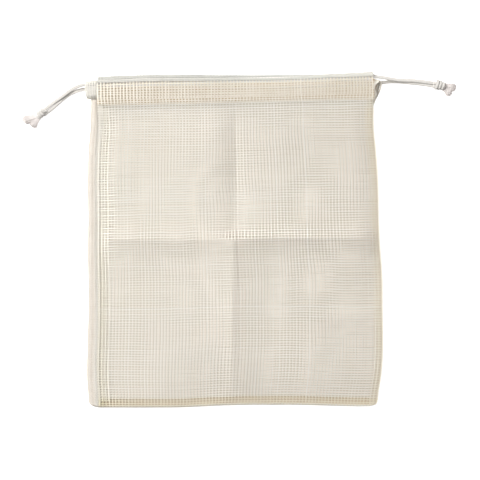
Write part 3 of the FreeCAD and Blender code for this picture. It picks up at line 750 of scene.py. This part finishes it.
# the cords' outside strands
SIDES = {
    "left": dict(front=LEFT_FRONT, back=LEFT_BACK, out=(-UX, -UY)),
    "right": dict(front=RIGHT_FRONT, back=RIGHT_BACK, out=(UX, UY)),
}
CORD_R = 1.9
CORD_T = 1.45  # it lies a little flattened
CORD_PAINTED_SHADE = {("left", "front"): 0.27, ("left", "back"): 0.29, ("right", "front"): 0.17, ("right", "back"): 0.13}
cords = {}
strand_lines = {}
for name, side in SIDES.items():
    for which in ("front", "back"):
        line = relaxed(even(routed(side[which]), 0.5), 2)
        batch = Batch()
        # painted shade: each length is darkened by its own amount to tone down its lit top, and the left back strand is
        # lightened near the mouth, a painted light where the tab and the front strand shade it
        strand_painted_shade = CORD_PAINTED_SHADE[(name, which)]
        if (name, which) == ("left", "back"):
            strand_painted_shade = -0.06 + (strand_painted_shade + 0.06) * ease((-165.0 - line[:, :1]) / 12.0)
        braid(batch, line, CORD_R, CORD_T, 100 + len(cords), pitch=10.5, turn=0.3 * len(cords), up=(0, 0, 1), shade=strand_painted_shade)
        node = f"{name}_cord_{which}_strand"
        ob = batch.piece(node + "_braid", cord_cotton)
        cords[(name, which)] = ob
        strand_lines[(name, which)] = line

knots = {}
b_ = Batch()
# the knots' shade values are painted shade that tones down their lit tops, so the wraps show
knot(b_, (-198.6, 129.0), (-0.76, -0.65), 1.45, 131, turns=2.7, barrel=3.1, start=2.2, flip=1.0, shade=0.25)
knots["left"] = b_.piece("left_cord_overhand_knot", cord_cotton)
b_ = Batch()
knot(b_, (208.8, 158.5), (1.0, -0.10), 1.62, 141, turns=2.4, barrel=4.0, start=3.6, flip=-1.0, shade=0.17)
knots["right"] = b_.piece("right_cord_overhand_knot", cord_cotton)

tufts = {}
for node, start, heading, length, r0, r1, count, seed, drop in (
    ("left_cord_front_tail", (-200.9, 126.8, 4.2), (-0.965, -0.25), 17.6, 2.7, 4.8, 380, 151, -0.10),
    ("left_cord_back_tail", (-200.8, 125.4, 3.8), (-0.62, -0.78), 12.8, 2.3, 4.2, 280, 152, -0.08),
    ("right_cord_front_tail", (212.9, 158.0, 4.4), (0.985, -0.16), 14.0, 2.4, 4.2, 290, 153, -0.12),
    ("right_cord_back_tail", (212.3, 157.0, 4.0), (0.72, -0.69), 12.6, 2.2, 4.0, 240, 154, -0.08),
):
    b_ = Batch()
    tuft(b_, start, heading, length, r0, r1, count, seed, drop, thick=0.26)
    tufts[node] = b_.piece(node + "_fray", fluff)

for name in SIDES:
    for which in ("front", "back"):
        ob = cords[(name, which)]
        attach(ob, name + "_drawcord")
        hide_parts(f"{name}_cord_{which}_strand")
    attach(knots[name], name + "_drawcord")
    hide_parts(name + "_cord_knot")
for node, ob in tufts.items():
    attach(ob, node.split("_")[0] + "_drawcord")
    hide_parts(node)
for name in SIDES:
    for which in ("front", "back"):
        ob = cords[(name, which)]
        line = strand_lines[(name, which)] * 0.001
        length = float(np.linalg.norm(np.diff(line, axis=0), axis=1).sum())

# the cords inside the casings, with their turns at the far ends
RUN_R = 1.55
RIGHT_DIP = 1.9
for name, far, near, downs in (("left", 134.0, -141.0, (7.2, 8.3)), ("right", -134.0, 141.3, (3.9, 11.7))):
    way = 1 if far > near else -1
    for which, z, down in (("front", 12.5, downs[0]), ("back", 2.8, downs[1])):
        s_ = np.linspace(near, far, 420)
        line = at_mouth(s_, down + 0.2 * np.sin(s_ / 23.0), z - (RIGHT_DIP * ease((s_ - 112.0) / 27.0) if which == "front" else 0.0))
        b_ = Batch()
        braid(b_, line, RUN_R, RUN_R, 170 + int(z), pitch=10.5)
        ob = b_.piece(f"{name}_cord_{which}_run_braid", cord_cotton)
        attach(ob, name + "_drawcord")
        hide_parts(f"{name}_cord_{which}_run")
    th = np.linspace(0, math.pi, 44)
    s_ = far + way * 5.1 * np.sin(th)
    line = at_mouth(s_, 0.2 * np.sin(far / 23.0) + downs[0] + (downs[1] - downs[0]) * ease(th / math.pi), 7.65 + 4.85 * np.cos(th))
    b_ = Batch()
    braid(b_, line, RUN_R, RUN_R, 181, pitch=10.5, up=(0.1, 1, 0))
    ob = b_.piece(f"{name}_cord_bend_braid", cord_cotton)
    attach(ob, name + "_drawcord")
    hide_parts(f"{name}_cord_bend")


# --------------------------------------------------------------------------- cloth
def gather(x, y):
    """How far a point of cloth follows the mouth's end as the mouth is drawn up: 1 at the mouth's corner, 0 at the middle and the foot."""
    up = ease((y + 128.0) / (140.0 + 128.0)) ** 1.25
    return np.clip(np.abs(x) / 141.2, 0, 1) * up


def follows(ob, side):
    """Bakes a piece's place into its mesh and works out how far each of its points follows one end of the mouth; the
    weights are not kept.
    """
    if side == "left":
        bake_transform(ob)
    else:
        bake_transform(ob)
    co = np.zeros(len(ob.data.vertices) * 3, np.float32)
    ob.data.vertices.foreach_get("co", co)
    co = co.reshape(-1, 3) * 1000
    w = gather(co[:, 0], co[:, 1])
    w = np.where((co[:, 0] < 0) == (side == "left"), w, 0.0)


def area_of(surface, a0, a1, b0, b1, n=40):
    """A part of a surface, in square metres."""
    a, b = np.meshgrid(np.linspace(a0, a1, n), np.linspace(b0, b1, n), indexing="ij")
    p = surface(a, b)
    u, v = np.diff(p, axis=0)[:, :-1], np.diff(p, axis=1)[:-1]
    return float(np.linalg.norm(np.cross(u, v), axis=-1).sum()) * 1e-6


COLS = (np.arange(87) + 0.35) * PX  # the last one curls over the right edge
COLS = COLS[COLS < FRONT_A + 4.4]
ROWS = np.concatenate([[-3.6, -1.2], (np.arange(118) + 0.45) * PY])
ROWS = ROWS[ROWS < FRONT_B - 0.6]


def front_shade(a, b):
    """Painted shade: the foot, the right edge and the left edge, which lie over the folded seams, are darkened and
    warmed; the left edge less so towards the top.
    """
    a, b = np.broadcast_arrays(a, b)
    foot = ease((9.0 - b) / 6.0)
    right = 0.55 * ease((a - FRONT_A + 8.0) / 6.0)
    left = ease((13.0 - a) / 9.0) * (1 - 0.5 * ease((b - 120.0) / 60.0))
    return (np.maximum(foot, right))[..., None] * np.array([0.07, 0.10, 0.20]) + left[..., None] * np.array([0.15, 0.16, 0.21])


front = Weave(front_sheet, COLS, ROWS, 21, -4.6, FRONT_B, -1.2, FRONT_A + 4.7, shade=front_shade)
B_COLS = np.arange(-4, 90) * PX + 0.9
B_COLS = B_COLS[(B_COLS > 1.5) & (B_COLS < BACK_A + 4.2)]
B_COLS = np.concatenate([np.arange(-16.7, 1.2, 1.2), B_COLS])  # the turned edge is the selvedge, close woven
def back_shade(a, b):
    """Painted shade: the strip that wraps on to the front lies close and is darkened, most where it has turned over on
    to the front and less at its inner edge; the rest, the inner, lower layer, is darkened, more towards the right.
    """
    on = ease((-a + 0.5) / 4.0)[..., None] + 0.0 * b[..., None]
    turned = ease((-a - 0.5) / 6.0)[..., None]
    far = (0.8 + 0.3 * ease((a - 110.0) / 130.0))[..., None]
    inner = (1 - 0.75 * ease((-a - 10.0) / 4.0))[..., None]
    return (0.15 + 0.85 * turned) * inner * on * np.array([0.18, 0.21, 0.225]) + far * (1 - on) * PAINTED_SHADE_DEEP


back = Weave(back_sheet, B_COLS, ROWS, 22, -4.3, BACK_B, -17.5, BACK_A + 4.3, shade=back_shade)

BANDS = [(-10.0, 101.0), (101.0, 205.0), (205.0, 400.0)]
BAND_NAMES = ["low", "middle", "upper"]
tiles = []


def nearest_cut(values, want):
    return float(values[np.argmin(np.abs(values - want))])


for layer, weave, surface, a_mid, a_low, a_high, b_high, rise in (
    ("front", front, front_sheet, FRONT_A / 2, -1.2, FRONT_A + 4.7, FRONT_B, 0.34),
    ("back", back, back_sheet, BACK_A / 2, -17.5, BACK_A + 4.3, BACK_B, 0.32),
):
    a_cut = nearest_cut(weave.fa, a_mid)
    cuts = [-10.0, nearest_cut(weave.wb, 101.0), nearest_cut(weave.wb, 205.0), 400.0]
    for side, a0, a1 in (("left", -50.0, a_cut), ("right", a_cut, 400.0)):
        for band, b0, b1 in zip(BAND_NAMES, cuts[:-1], cuts[1:]):
            batch = Batch()
            weave.add(batch, (a0, a1), (b0, b1), rise=rise, warp=(0.34, 0.20), weft=(0.53, 0.18), swing=0.27)
            if layer == "back" and side == "left" and band == "upper":
                shoulder = Weave(back_sheet, B_COLS[B_COLS < -1.0], BACK_B + np.array([1.2, 3.8, 6.4, 9.0]), 23, BACK_B, BACK_B + 10.4, -17.5, -1.0, shade=back_shade)
                shoulder.add(batch, (-50, 400), (0, 400), rise=rise, warp=(0.36, 0.20), weft=(0.55, 0.18))
            ob = batch.piece(f"{layer}_mesh_{side}_{band}", cotton)
            follows(ob, side)
            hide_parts(layer + "_panel")
            tiles.append(ob)


# the casings
def profile(points):
    """An even, rounded line through (down, height) points, and its length."""
    p = np.array(points, float)
    for _ in range(3):
        q = np.empty((2 * len(p), 2))
        q[0], q[-1] = p[0], p[-1]
        q[1:-1:2] = 0.75 * p[:-1] + 0.25 * p[1:]
        q[2:-1:2] = 0.25 * p[:-1] + 0.75 * p[1:]
        p = q
    d = np.concatenate([[0], np.cumsum(np.linalg.norm(np.diff(p, axis=0), axis=1))])
    return p, d


FRONT_CASE = [(27.7, 11.85), (26.6, 12.9), (24.0, 13.7), (21.0, 14.2), (17.0, 14.7), (12.0, 14.95), (5.0, 15.05), (1.9, 14.6), (0.55, 13.1), (1.9, 11.5), (4.5, 10.95), (12.0, 10.85), (20.0, 10.8), (25.4, 10.75), (27.2, 10.8), (27.4, 11.3), (26.0, 11.75), (21.0, 12.0)]
BACK_CASE = [(27.6, 0.95), (25.0, 0.8), (18.0, 0.70), (12.0, 0.68), (5.0, 0.70), (2.0, 1.0), (0.55, 2.8), (2.0, 4.5), (4.5, 4.9), (12.0, 4.95), (20.0, 4.95), (25.2, 4.9), (27.3, 4.6), (27.5, 3.7), (26.0, 3.3), (21.0, 3.2)]
fc_p, fc_d = profile(FRONT_CASE)
bc_p, bc_d = profile(BACK_CASE)
case_wave = waves(31, 8, 30.0, 110.0, 0.28)
case_drift = waves(32, 8, 45.0, 160.0, 0.30)


def casing(points, dist, top, z_gain):
    def surface(a, b):
        a, b = np.broadcast_arrays(np.asarray(a, float), np.asarray(b, float))
        s = -140.6 + a / FRONT_A * 281.9
        v = np.interp(b, dist, points[:, 0])
        z = np.interp(b, dist, points[:, 1])
        lift = 1 - np.clip(v / 27.0, 0, 1)
        v = v + (top(s) - mouth_wave(s)) * lift
        calm = ease(v / 8.0) * ease((27.0 - v) / 8.0)
        z = z + case_wave(s, v) * calm * z_gain
        s = s + case_drift(s * 1.0, v + 60) * calm
        z = z - RIGHT_DIP * ease((s - 112.0) / 27.0) * np.clip((z - 10.5) / 4.5, 0, 1)
        return at_mouth(s, v, z)

    return surface


front_case = casing(fc_p, fc_d, lambda s: front_lower(s) - 1.2, 1.0)
back_case = casing(bc_p, bc_d, lambda s: -back_top(s), 0.15)
FOLD_DENSE = {"front_casing": (3.2, 3.4), "back_casing": (3.0, 6.2)}  # woven edge: mm of close rows before and after the fold
for name, surface, points, dist, seed, rise, thin in (("front_casing", front_case, fc_p, fc_d, 41, 0.34, 0.18), ("back_casing", back_case, bc_p, bc_d, 42, 0.32, 0.18)):
    long = dist[-1]
    fold = dist[np.argmin(np.abs(points[:, 0] - points[:, 0].min()))]
    open_rows = np.arange(1.0, long - 0.4, PY * 0.985)
    tight = np.arange(fold - FOLD_DENSE[name][0], fold + FOLD_DENSE[name][1], 1.02)
    rows = np.sort(np.concatenate([open_rows[(open_rows < tight[0] - 1.3) | (open_rows > tight[-1] + 1.3)], tight]))
    lo, hi = tight[0] - 1.4, tight[-1] + 1.4

    # painted shade: the close rows at the fold are greyed where they face the lamps, the inner layers are darkened and
    # warmed, and the open outer rows get a slight warm tint
    def case_shade(a, b, lo=lo, hi=hi, fold=fold, gain=((0.9, 0.9, 1.0, 1.0, 0.9, 0.75) if name == "front_casing" else (1.25, 1.25, 1.4, 1.35, 1.0, 0.85)), back_=(name == "back_casing")):
        a, b = np.broadcast_arrays(a, b)
        k = np.interp(a, (0.0, 60.0, 140.0, 190.0, 230.0, 284.0), gain)[..., None]
        close = (ease((b - lo) / 1.2) * ease((hi - b) / 1.2))[..., None]
        inside = ease((b - fold - 1.5) / 3.0)[..., None]
        if back_:
            inside = np.maximum(inside, 0.7)
        # painted shade on the crest of the front fold, which faces the lamps, more at the left
        crest = ((0.0 if back_ else 1.0) * np.interp(a, (90.0, 190.0), (0.17, 0.06)) * np.exp(-(((b - fold + 2.3) / 0.95) ** 2)))[..., None]
        return k * close * PAINTED_SHADE_GREY + crest + (1 - close) * (inside * PAINTED_SHADE_WARM + (1 - inside) * np.array([0.0, 0.03, 0.08]))

    weave = Weave(surface, COLS[COLS < FRONT_A], rows, seed, 0.0, long, 0.0, FRONT_A, shade=case_shade)
    a_cut = nearest_cut(weave.fa, FRONT_A / 2)
    for side, a0, a1 in (("left", -50.0, a_cut), ("right", a_cut, 400.0)):
        batch = Batch()
        weave.add(batch, (a0, a1), (-5.0, 400.0), rise=rise, weft=(0.55, thin), warp=(0.46, 0.20))
        ob = batch.piece(f"{name}_mesh_{side}", cotton)
        follows(ob, side)
        wide = (a_cut if side == "left" else FRONT_A - a_cut) / 1000
        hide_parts(name)
        tiles.append(ob)


# --------------------------------------------------------------------------- the casing's open ends
def closed(points, sharp=2):
    """A closed, rounded loop through points, evenly spaced, from 0 round to 1."""
    p = np.array(points, float)
    for _ in range(sharp):
        nxt = np.roll(p, -1, axis=0)
        p = np.stack([0.75 * p + 0.25 * nxt, 0.25 * p + 0.75 * nxt], 1).reshape(-1, p.shape[1])
    p = np.concatenate([p, p[:1]])
    d = np.concatenate([[0], np.cumsum(np.linalg.norm(np.diff(p[:, :3], axis=0), axis=1))])
    return p, d


def ring_surface(inner, rim, bulge, hem=None):
    """Cloth between two loops of (along the mouth, down, height), wide by a few mm. a: mm out from the inner loop. b: mm round it.
    With a hem, the cloth goes over the rim and rolls on to the hem."""
    pi, di = closed(inner)
    pr, dr = closed(rim)
    ph, dh = closed(hem) if hem else (None, None)
    round_ = (di[-1] + dr[-1]) / 2
    wide = 14.0 if hem else 10.0

    def surface(a, b):
        a, b = np.broadcast_arrays(np.asarray(a, float), np.asarray(b, float))
        c = (b / round_) % 1.0
        e = np.clip(a / wide, -0.1, 1.1)[..., None]
        q0 = np.stack([np.interp(c * di[-1], di, pi[:, k]) for k in range(3)], -1)
        q1 = np.stack([np.interp(c * dr[-1], dr, pr[:, k]) for k in range(3)], -1)
        if hem:
            q2 = np.stack([np.interp(c * dh[-1], dh, ph[:, k]) for k in range(3)], -1)
            over = 0.58
            top = (q1 - (1 - over) ** 2 * q0 - over**2 * q2) / (2 * over * (1 - over))
            q = (1 - e) ** 2 * q0 + 2 * e * (1 - e) * top + e * e * q2
        else:
            q = q0 + (q1 - q0) * e
        puff = bulge * 4 * np.clip(e, 0, 1) * (1 - np.clip(e, 0, 1))
        mid = (pi[:-1].mean(0) + pr[:-1].mean(0)) / 2
        away = q - mid
        away[..., 0] = 0
        q = q + unit(away) * puff
        return at_mouth(q[..., 0], q[..., 1], q[..., 2])

    return surface, round_, wide


def ring_cloth(name, surface, round_, wide, columns, seed, material, warp=(0.52, 0.36), weft=(0.60, 0.26), swing=0.36, rise=0.34, pitch=2.1, flip=1.0, tone_=0.6, weft_gain=1.0, inside=0.0):
    rows = np.arange(0.5, round_ - 0.4, round_ / max(4, round(round_ / pitch)))
    # painted shade: tone_ greys the ring, inside darkens and warms the cloth near the inner loop, and weft_gain darkens
    # the wefts more than the warps
    weave = Weave(surface, columns, rows, seed, 0.0, round_, 0.0, wide, flip=flip, shade=lambda a, b: toned(lambda a, b: tone_, PAINTED_SHADE_GREY)(a, b) + toned(lambda a, b: inside * ease((6.5 - a) / 4.0), PAINTED_SHADE_WARM)(a, b), weft_gain=weft_gain)
    batch = Batch()
    weave.add(batch, (-50, 400), (-50, 400), warp=warp, weft=weft, swing=swing, rise=rise)
    return batch.piece(name, material)


left_inner = [(-138.6, 2.6, 2.2), (-138.6, 1.6, 7.6), (-138.6, 2.4, 13.2), (-138.6, 6.5, 14.9), (-138.6, 15.0, 13.9), (-138.6, 18.8, 11.2), (-138.6, 20.6, 6.6), (-138.6, 20.0, 2.1), (-138.6, 15.0, 1.15), (-138.6, 6.5, 1.15)]
left_rim = [(-151.4, 3.2, 2.6), (-152.1, 2.4, 7.4), (-152.5, 3.2, 12.0), (-152.9, 6.8, 13.7), (-152.9, 14.0, 12.6), (-152.4, 17.8, 9.6), (-151.8, 19.7, 6.0), (-151.5, 19.0, 2.5), (-152.1, 15.0, 1.25), (-152.3, 7.0, 1.25)]
surface, round_, wide = ring_surface(left_inner, left_rim, 0.35)
ob = ring_cloth("left_casing_mouth_gather", surface, round_, wide, np.array([0.9, 2.7, 4.5, 6.3, 8.1, 9.5]), 51, cotton, flip=-1.0, warp=(0.47, 0.34), swing=0.20, pitch=1.9, tone_=0.31, weft_gain=2.0)
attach(ob, "left_casing_end")
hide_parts("left_casing_mouth")

right_inner = [(139.0, 6.5, 6.5), (139.0, 8.0, 2.8), (139.0, 12.0, 1.2), (139.0, 17.0, 1.1), (139.0, 21.0, 1.3), (139.0, 25.0, 2.2), (139.0, 27.0, 5.2), (139.0, 25.0, 8.2), (139.0, 21.0, 9.4), (139.0, 17.0, 10.4), (139.0, 12.0, 10.8), (139.0, 8.2, 9.6)]
right_rim = [(146.2, 7.6, 8.6), (148.6, 9.4, 7.4), (149.7, 12.4, 6.6), (149.1, 16.0, 6.0), (147.2, 20.4, 5.4), (145.2, 23.8, 5.0), (143.4, 26.8, 4.7), (142.1, 29.6, 4.5), (141.0, 33.0, 4.5), (141.4, 29.8, 6.6), (142.2, 26.8, 7.7), (143.4, 23.8, 8.5), (144.3, 21.0, 9.1), (142.2, 18.6, 10.9), (141.6, 15.2, 11.7), (142.4, 12.6, 11.4), (145.2, 11.0, 10.5), (146.5, 9.2, 9.7)]
surface, round_, wide = ring_surface(right_inner, right_rim, 0.3)
ob = ring_cloth("right_casing_mouth_gather", surface, round_, wide, np.array([0.9, 3.0, 5.1, 7.2, 9.3]), 52, cotton, pitch=1.9, tone_=0.0, inside=1.35)
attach(ob, "right_casing_end")
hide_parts("right_casing_mouth")


# --------------------------------------------------------------------------- seams
def band_surface(x_at, y_low, y_high, height, way=1.0):
    """An upright strip beside an edge. a: mm across from its outer side. b: mm up."""

    def surface(a, b):
        a, b = np.broadcast_arrays(np.asarray(a, float), np.asarray(b, float))
        y = y_low + b
        x = x_at(y) + way * a
        z = height(y, a)
        return np.stack([x, y, z], -1)

    return surface


def strip_piece(name, surfaces, columns, rows, wide, long, seed, node, split, warp=(0.42, 0.25), weft=(0.52, 0.22), per=(3, 2), wider=0.0, more=(), tone_=0.0):
    batch = Batch()
    for k, surface in enumerate(surfaces):
        extra = wider if k == 0 else 0.0
        at = np.concatenate([columns, wide + np.asarray(more)]) if extra else columns
        # painted shade: tone_ darkens and warms the seam allowances, which lie under the cloth
        weave = Weave(surface, at, rows, seed + k, 0.0, long, 0.0, wide + extra, per_warp=per[0], per_weft=per[1], shade=toned(lambda a, b: tone_, PAINTED_SHADE_WARM))
        weave.add(batch, (-50, 500), (-50, 500), warp=warp, weft=weft, swing=0.30, rise=0.30)
    ob = batch.piece(name, shaded_inner_cotton)
    if split:
        follows(ob, split)
    else:
        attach(ob, "bag")
    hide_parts(node)
    k = len(surfaces) / 1000
    return ob


long = 300.0
rows = np.arange(1.0, long - 1.0, PY)
lx = lambda y: west(y) + roll(y) + 0.6
strip_piece(
    "left_seam_allowance",
    [band_surface(lambda y: lx(y) + 10.3, -165.0, 135.0, lambda y, a: 3.05 + 0.12 * np.sin(y / 9.0) - 0.6 * ease((11.0 - a) / 4.0), -1.0), band_surface(lambda y: lx(y) + 0.4, -165.0, 135.0, lambda y, a: 4.15 + 0.15 * np.sin(y / 13.0 + 1) + 0 * a)],
    np.array([0.9, 3.0, 5.1, 7.2, 9.4]), rows, 10.3, long, 61, "left_side_seam", "left", wider=4.6, more=(0.9, 2.6, 4.2),
)
rx = lambda y: east(y) - 9.0
strip_piece(
    "right_seam_allowance",
    [band_surface(rx, -165.0, 135.0, lambda y, a: 2.35 + 0.12 * np.sin(y / 10.0) + 0 * a), band_surface(lambda y: rx(y) - 0.5, -165.0, 135.0, lambda y, a: 3.8 + 0.15 * np.sin(y / 12.0 + 2) + 0 * a)],
    np.array([0.8, 4.1, 7.4]), rows, 8.3, long, 63, "right_side_seam", "right", tone_=0.5,
)


def foot_surface(height, low):
    def surface(a, b):
        a, b = np.broadcast_arrays(np.asarray(a, float), np.asarray(b, float))
        x = -139.0 + a
        y = bottom(x) + low + b
        return np.stack([x, y, height + 0.12 * np.sin(x / 11.0) + 0 * b], -1)

    return surface


strip_piece(
    "bottom_seam_allowance",
    [foot_surface(2.35, 1.7), foot_surface(3.75, 1.3)],
    np.arange(1.2, 274.0, PX), np.array([0.9, 3.4, 5.8]), 276.0, 7.2, 65, "bottom_seam", None, tone_=0.9,
)


# --------------------------------------------------------------------------- sewing
def stitches(batch, line, normals, seed, long=2.6, gap=0.42, wide=0.36, thick=0.24, lift=0.05):
    """A row of lockstitches: each a short float of thread that dives into the cloth at both ends."""
    r = rand(seed)
    d = np.concatenate([[0], np.cumsum(np.linalg.norm(np.diff(line, axis=0), axis=1))])
    n_ = int(d[-1] / (long + gap))
    start = np.arange(n_) * (long + gap) + gap / 2 + r.normal(0, 0.06, n_)
    f = np.linspace(0, 1, 9)[None, :]
    at = start[:, None] + f * long * (1 + r.normal(0, 0.03, (n_, 1)))
    c = np.stack([np.interp(at, d, line[:, k]) for k in range(3)], -1)
    nn = unit(np.stack([np.interp(at, d, normals[:, k]) for k in range(3)], -1))
    t = unit(np.gradient(c, axis=1))
    lat = unit(np.cross(nn, t))
    arc = np.sin(np.pi * f) ** 0.45
    c = c + nn * (lift + 0.42 * (arc - 1))[..., None] + lat * (r.normal(0, 0.07, (n_, 1)) + 0.07 * (f - 0.5))[..., None]
    shape = 0.55 + 0.45 * arc
    batch.tubes(c, lat, nn, wide * shape, thick * shape, 8, r.normal(0, 1, n_))


def sewn(name, node, rows_, side, seed, **kw):
    batch = Batch()
    for k, (line, normals) in enumerate(rows_):
        stitches(batch, line, normals, seed + k, **kw)
    ob = batch.piece(name, thread)
    if side:
        follows(ob, side)
    else:
        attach(ob, "bag")
    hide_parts(node)
    return ob


for name, surface, row_b, up in (("front", front_case, 1.9, 1.0), ("back", back_case, 39.5, 1.0)):
    for side, a0, a1 in (("left", 0.6, FRONT_A / 2), ("right", FRONT_A / 2, FRONT_A - 0.4)):
        a = np.linspace(a0, a1, 300)
        p, da, db, n = on_surface(surface, a, np.full(300, row_b), 1.0)
        if name == "back":
            n = n * np.sign(n[:, 2:3])
        sewn(f"{name}_hem_lockstitch_{side}", f"{name}_hem_stitch", [(p + n * 0.45, n)], side, 71 + len(name))

y = np.linspace(-162.0, 134.0, 500)
up_n = np.tile([0.0, 0.0, 1.0], (500, 1))
x = west(y) + roll(y) + 1.5
sewn("left_seam_lockstitch", "left_seam_stitch", [(np.stack([x, y, 4.62 + 0 * y], -1), up_n)], "left", 75)
x = east(y) - 1.6
sewn("right_seam_lockstitch", "right_seam_stitch", [(np.stack([x, y, 4.55 + 0 * y], -1), up_n)], "right", 76)
x = np.linspace(-136.0, 134.0, 500)
sewn("bottom_seam_lockstitch", "bottom_seam_stitch", [(np.stack([x, bottom(x) + 1.9, 4.5 + 0 * x], -1), up_n)], None, 77)


# --------------------------------------------------------------------------- floor, light
xs = np.concatenate([[-1600.0], np.arange(-236.0, 236.1, 1.5), [1600.0]])
ys = np.concatenate([[-1600.0], np.arange(-200.0, 200.1, 1.5), [1600.0]])
gx, gy = np.meshgrid(xs, ys, indexing="ij")
floor_mesh = bpy.data.meshes.new("table_top")
verts = np.stack([gx, gy, 0 * gx], -1).reshape(-1, 3) * 0.001
idx = np.arange(gx.size).reshape(gx.shape)
quads = np.stack([idx[:-1, :-1], idx[1:, :-1], idx[1:, 1:], idx[:-1, 1:]], -1).reshape(-1, 4)
floor_mesh.from_pydata(verts.tolist(), [], quads.tolist())
# how far outside the bag's outline each point lies, so that the table glows round the bag and not under it
left_edge = np.where(gy < 141, west(gy), np.where((gy > 144) & (gy < 162), -149.0, -141.0))
right_edge = np.where(gy < 141, east(gy), np.where((gy > 144) & (gy < 164), 145.0, 141.3))
outside = np.maximum.reduce([left_edge - gx, gx - right_edge, bottom(gx) - gy, gy - (MOUTH_TOP + 0.02357 * gx)])
glow = floor_mesh.attributes.new("glow", "FLOAT", "POINT")
glow.data.foreach_set("value", ease((outside + 2.6) / 3.0).astype(np.float32).ravel())
floor = bpy.data.objects.new("table_top", floor_mesh)
scene.collection.objects.link(floor)
fm = bpy.data.materials.new("pale_table")
fm.use_nodes = True
nt = fm.node_tree
fp = nt.nodes["Principled BSDF"]
fp.inputs["Base Color"].default_value = (0.93, 0.93, 0.925, 1)
fp.inputs["Roughness"].default_value = 0.7
fp.inputs["Specular IOR Level"].default_value = 0.2
read = nt.nodes.new("ShaderNodeAttribute")
read.attribute_name = "glow"
# painted light: the table's colour and glow are warm under the bag, for light that has passed through two layers of
# cotton
warm = nt.nodes.new("ShaderNodeValToRGB")
warm.color_ramp.elements[0].color = (0.93, 0.84, 0.73, 1)
warm.color_ramp.elements[1].color = (1.0, 1.0, 1.0, 1)
nt.links.new(read.outputs["Fac"], warm.inputs["Fac"])
nt.links.new(warm.outputs["Color"], fp.inputs["Emission Color"])
nt.links.new(warm.outputs["Color"], fp.inputs["Base Color"])
scale_ = nt.nodes.new("ShaderNodeMath")
scale_.operation = "MULTIPLY_ADD"
scale_.inputs[1].default_value = 0.60
scale_.inputs[2].default_value = 0.04
nt.links.new(read.outputs["Fac"], scale_.inputs[0])
nt.links.new(scale_.outputs[0], fp.inputs["Emission Strength"])
floor_mesh.materials.append(fm)

world = bpy.data.worlds.new("studio")
scene.world = world
world.use_nodes = True
bg = world.node_tree.nodes["Background"]
bg.inputs["Color"].default_value = (1.0, 1.0, 1.0, 1)
bg.inputs["Strength"].default_value = 0.27


def area_light(name, place, size, power, colour=(1, 1, 1)):
    data = bpy.data.lights.new(name, "AREA")
    data.shape = "SQUARE"
    data.size = size
    data.energy = power
    data.color = colour
    ob = bpy.data.objects.new(name, data)
    ob.location = place
    ob.rotation_euler = (Vector((0, 0, 0)) - Vector(place)).to_track_quat("-Z", "Y").to_euler()
    scene.collection.objects.link(ob)
    return ob


area_light("key", (-1.36, 0.84, 1.42), 1.1, 70.5)
area_light("fill", (1.3, -1.0, 1.7), 1.4, 6.0)
area_light("kicker", (1.95, 0.25, 0.62), 0.9, 19.0)

scene.view_settings.view_transform = "Standard"
scene.view_settings.look = "None"
scene.view_settings.exposure = 0.0
scene.view_settings.gamma = 1.0
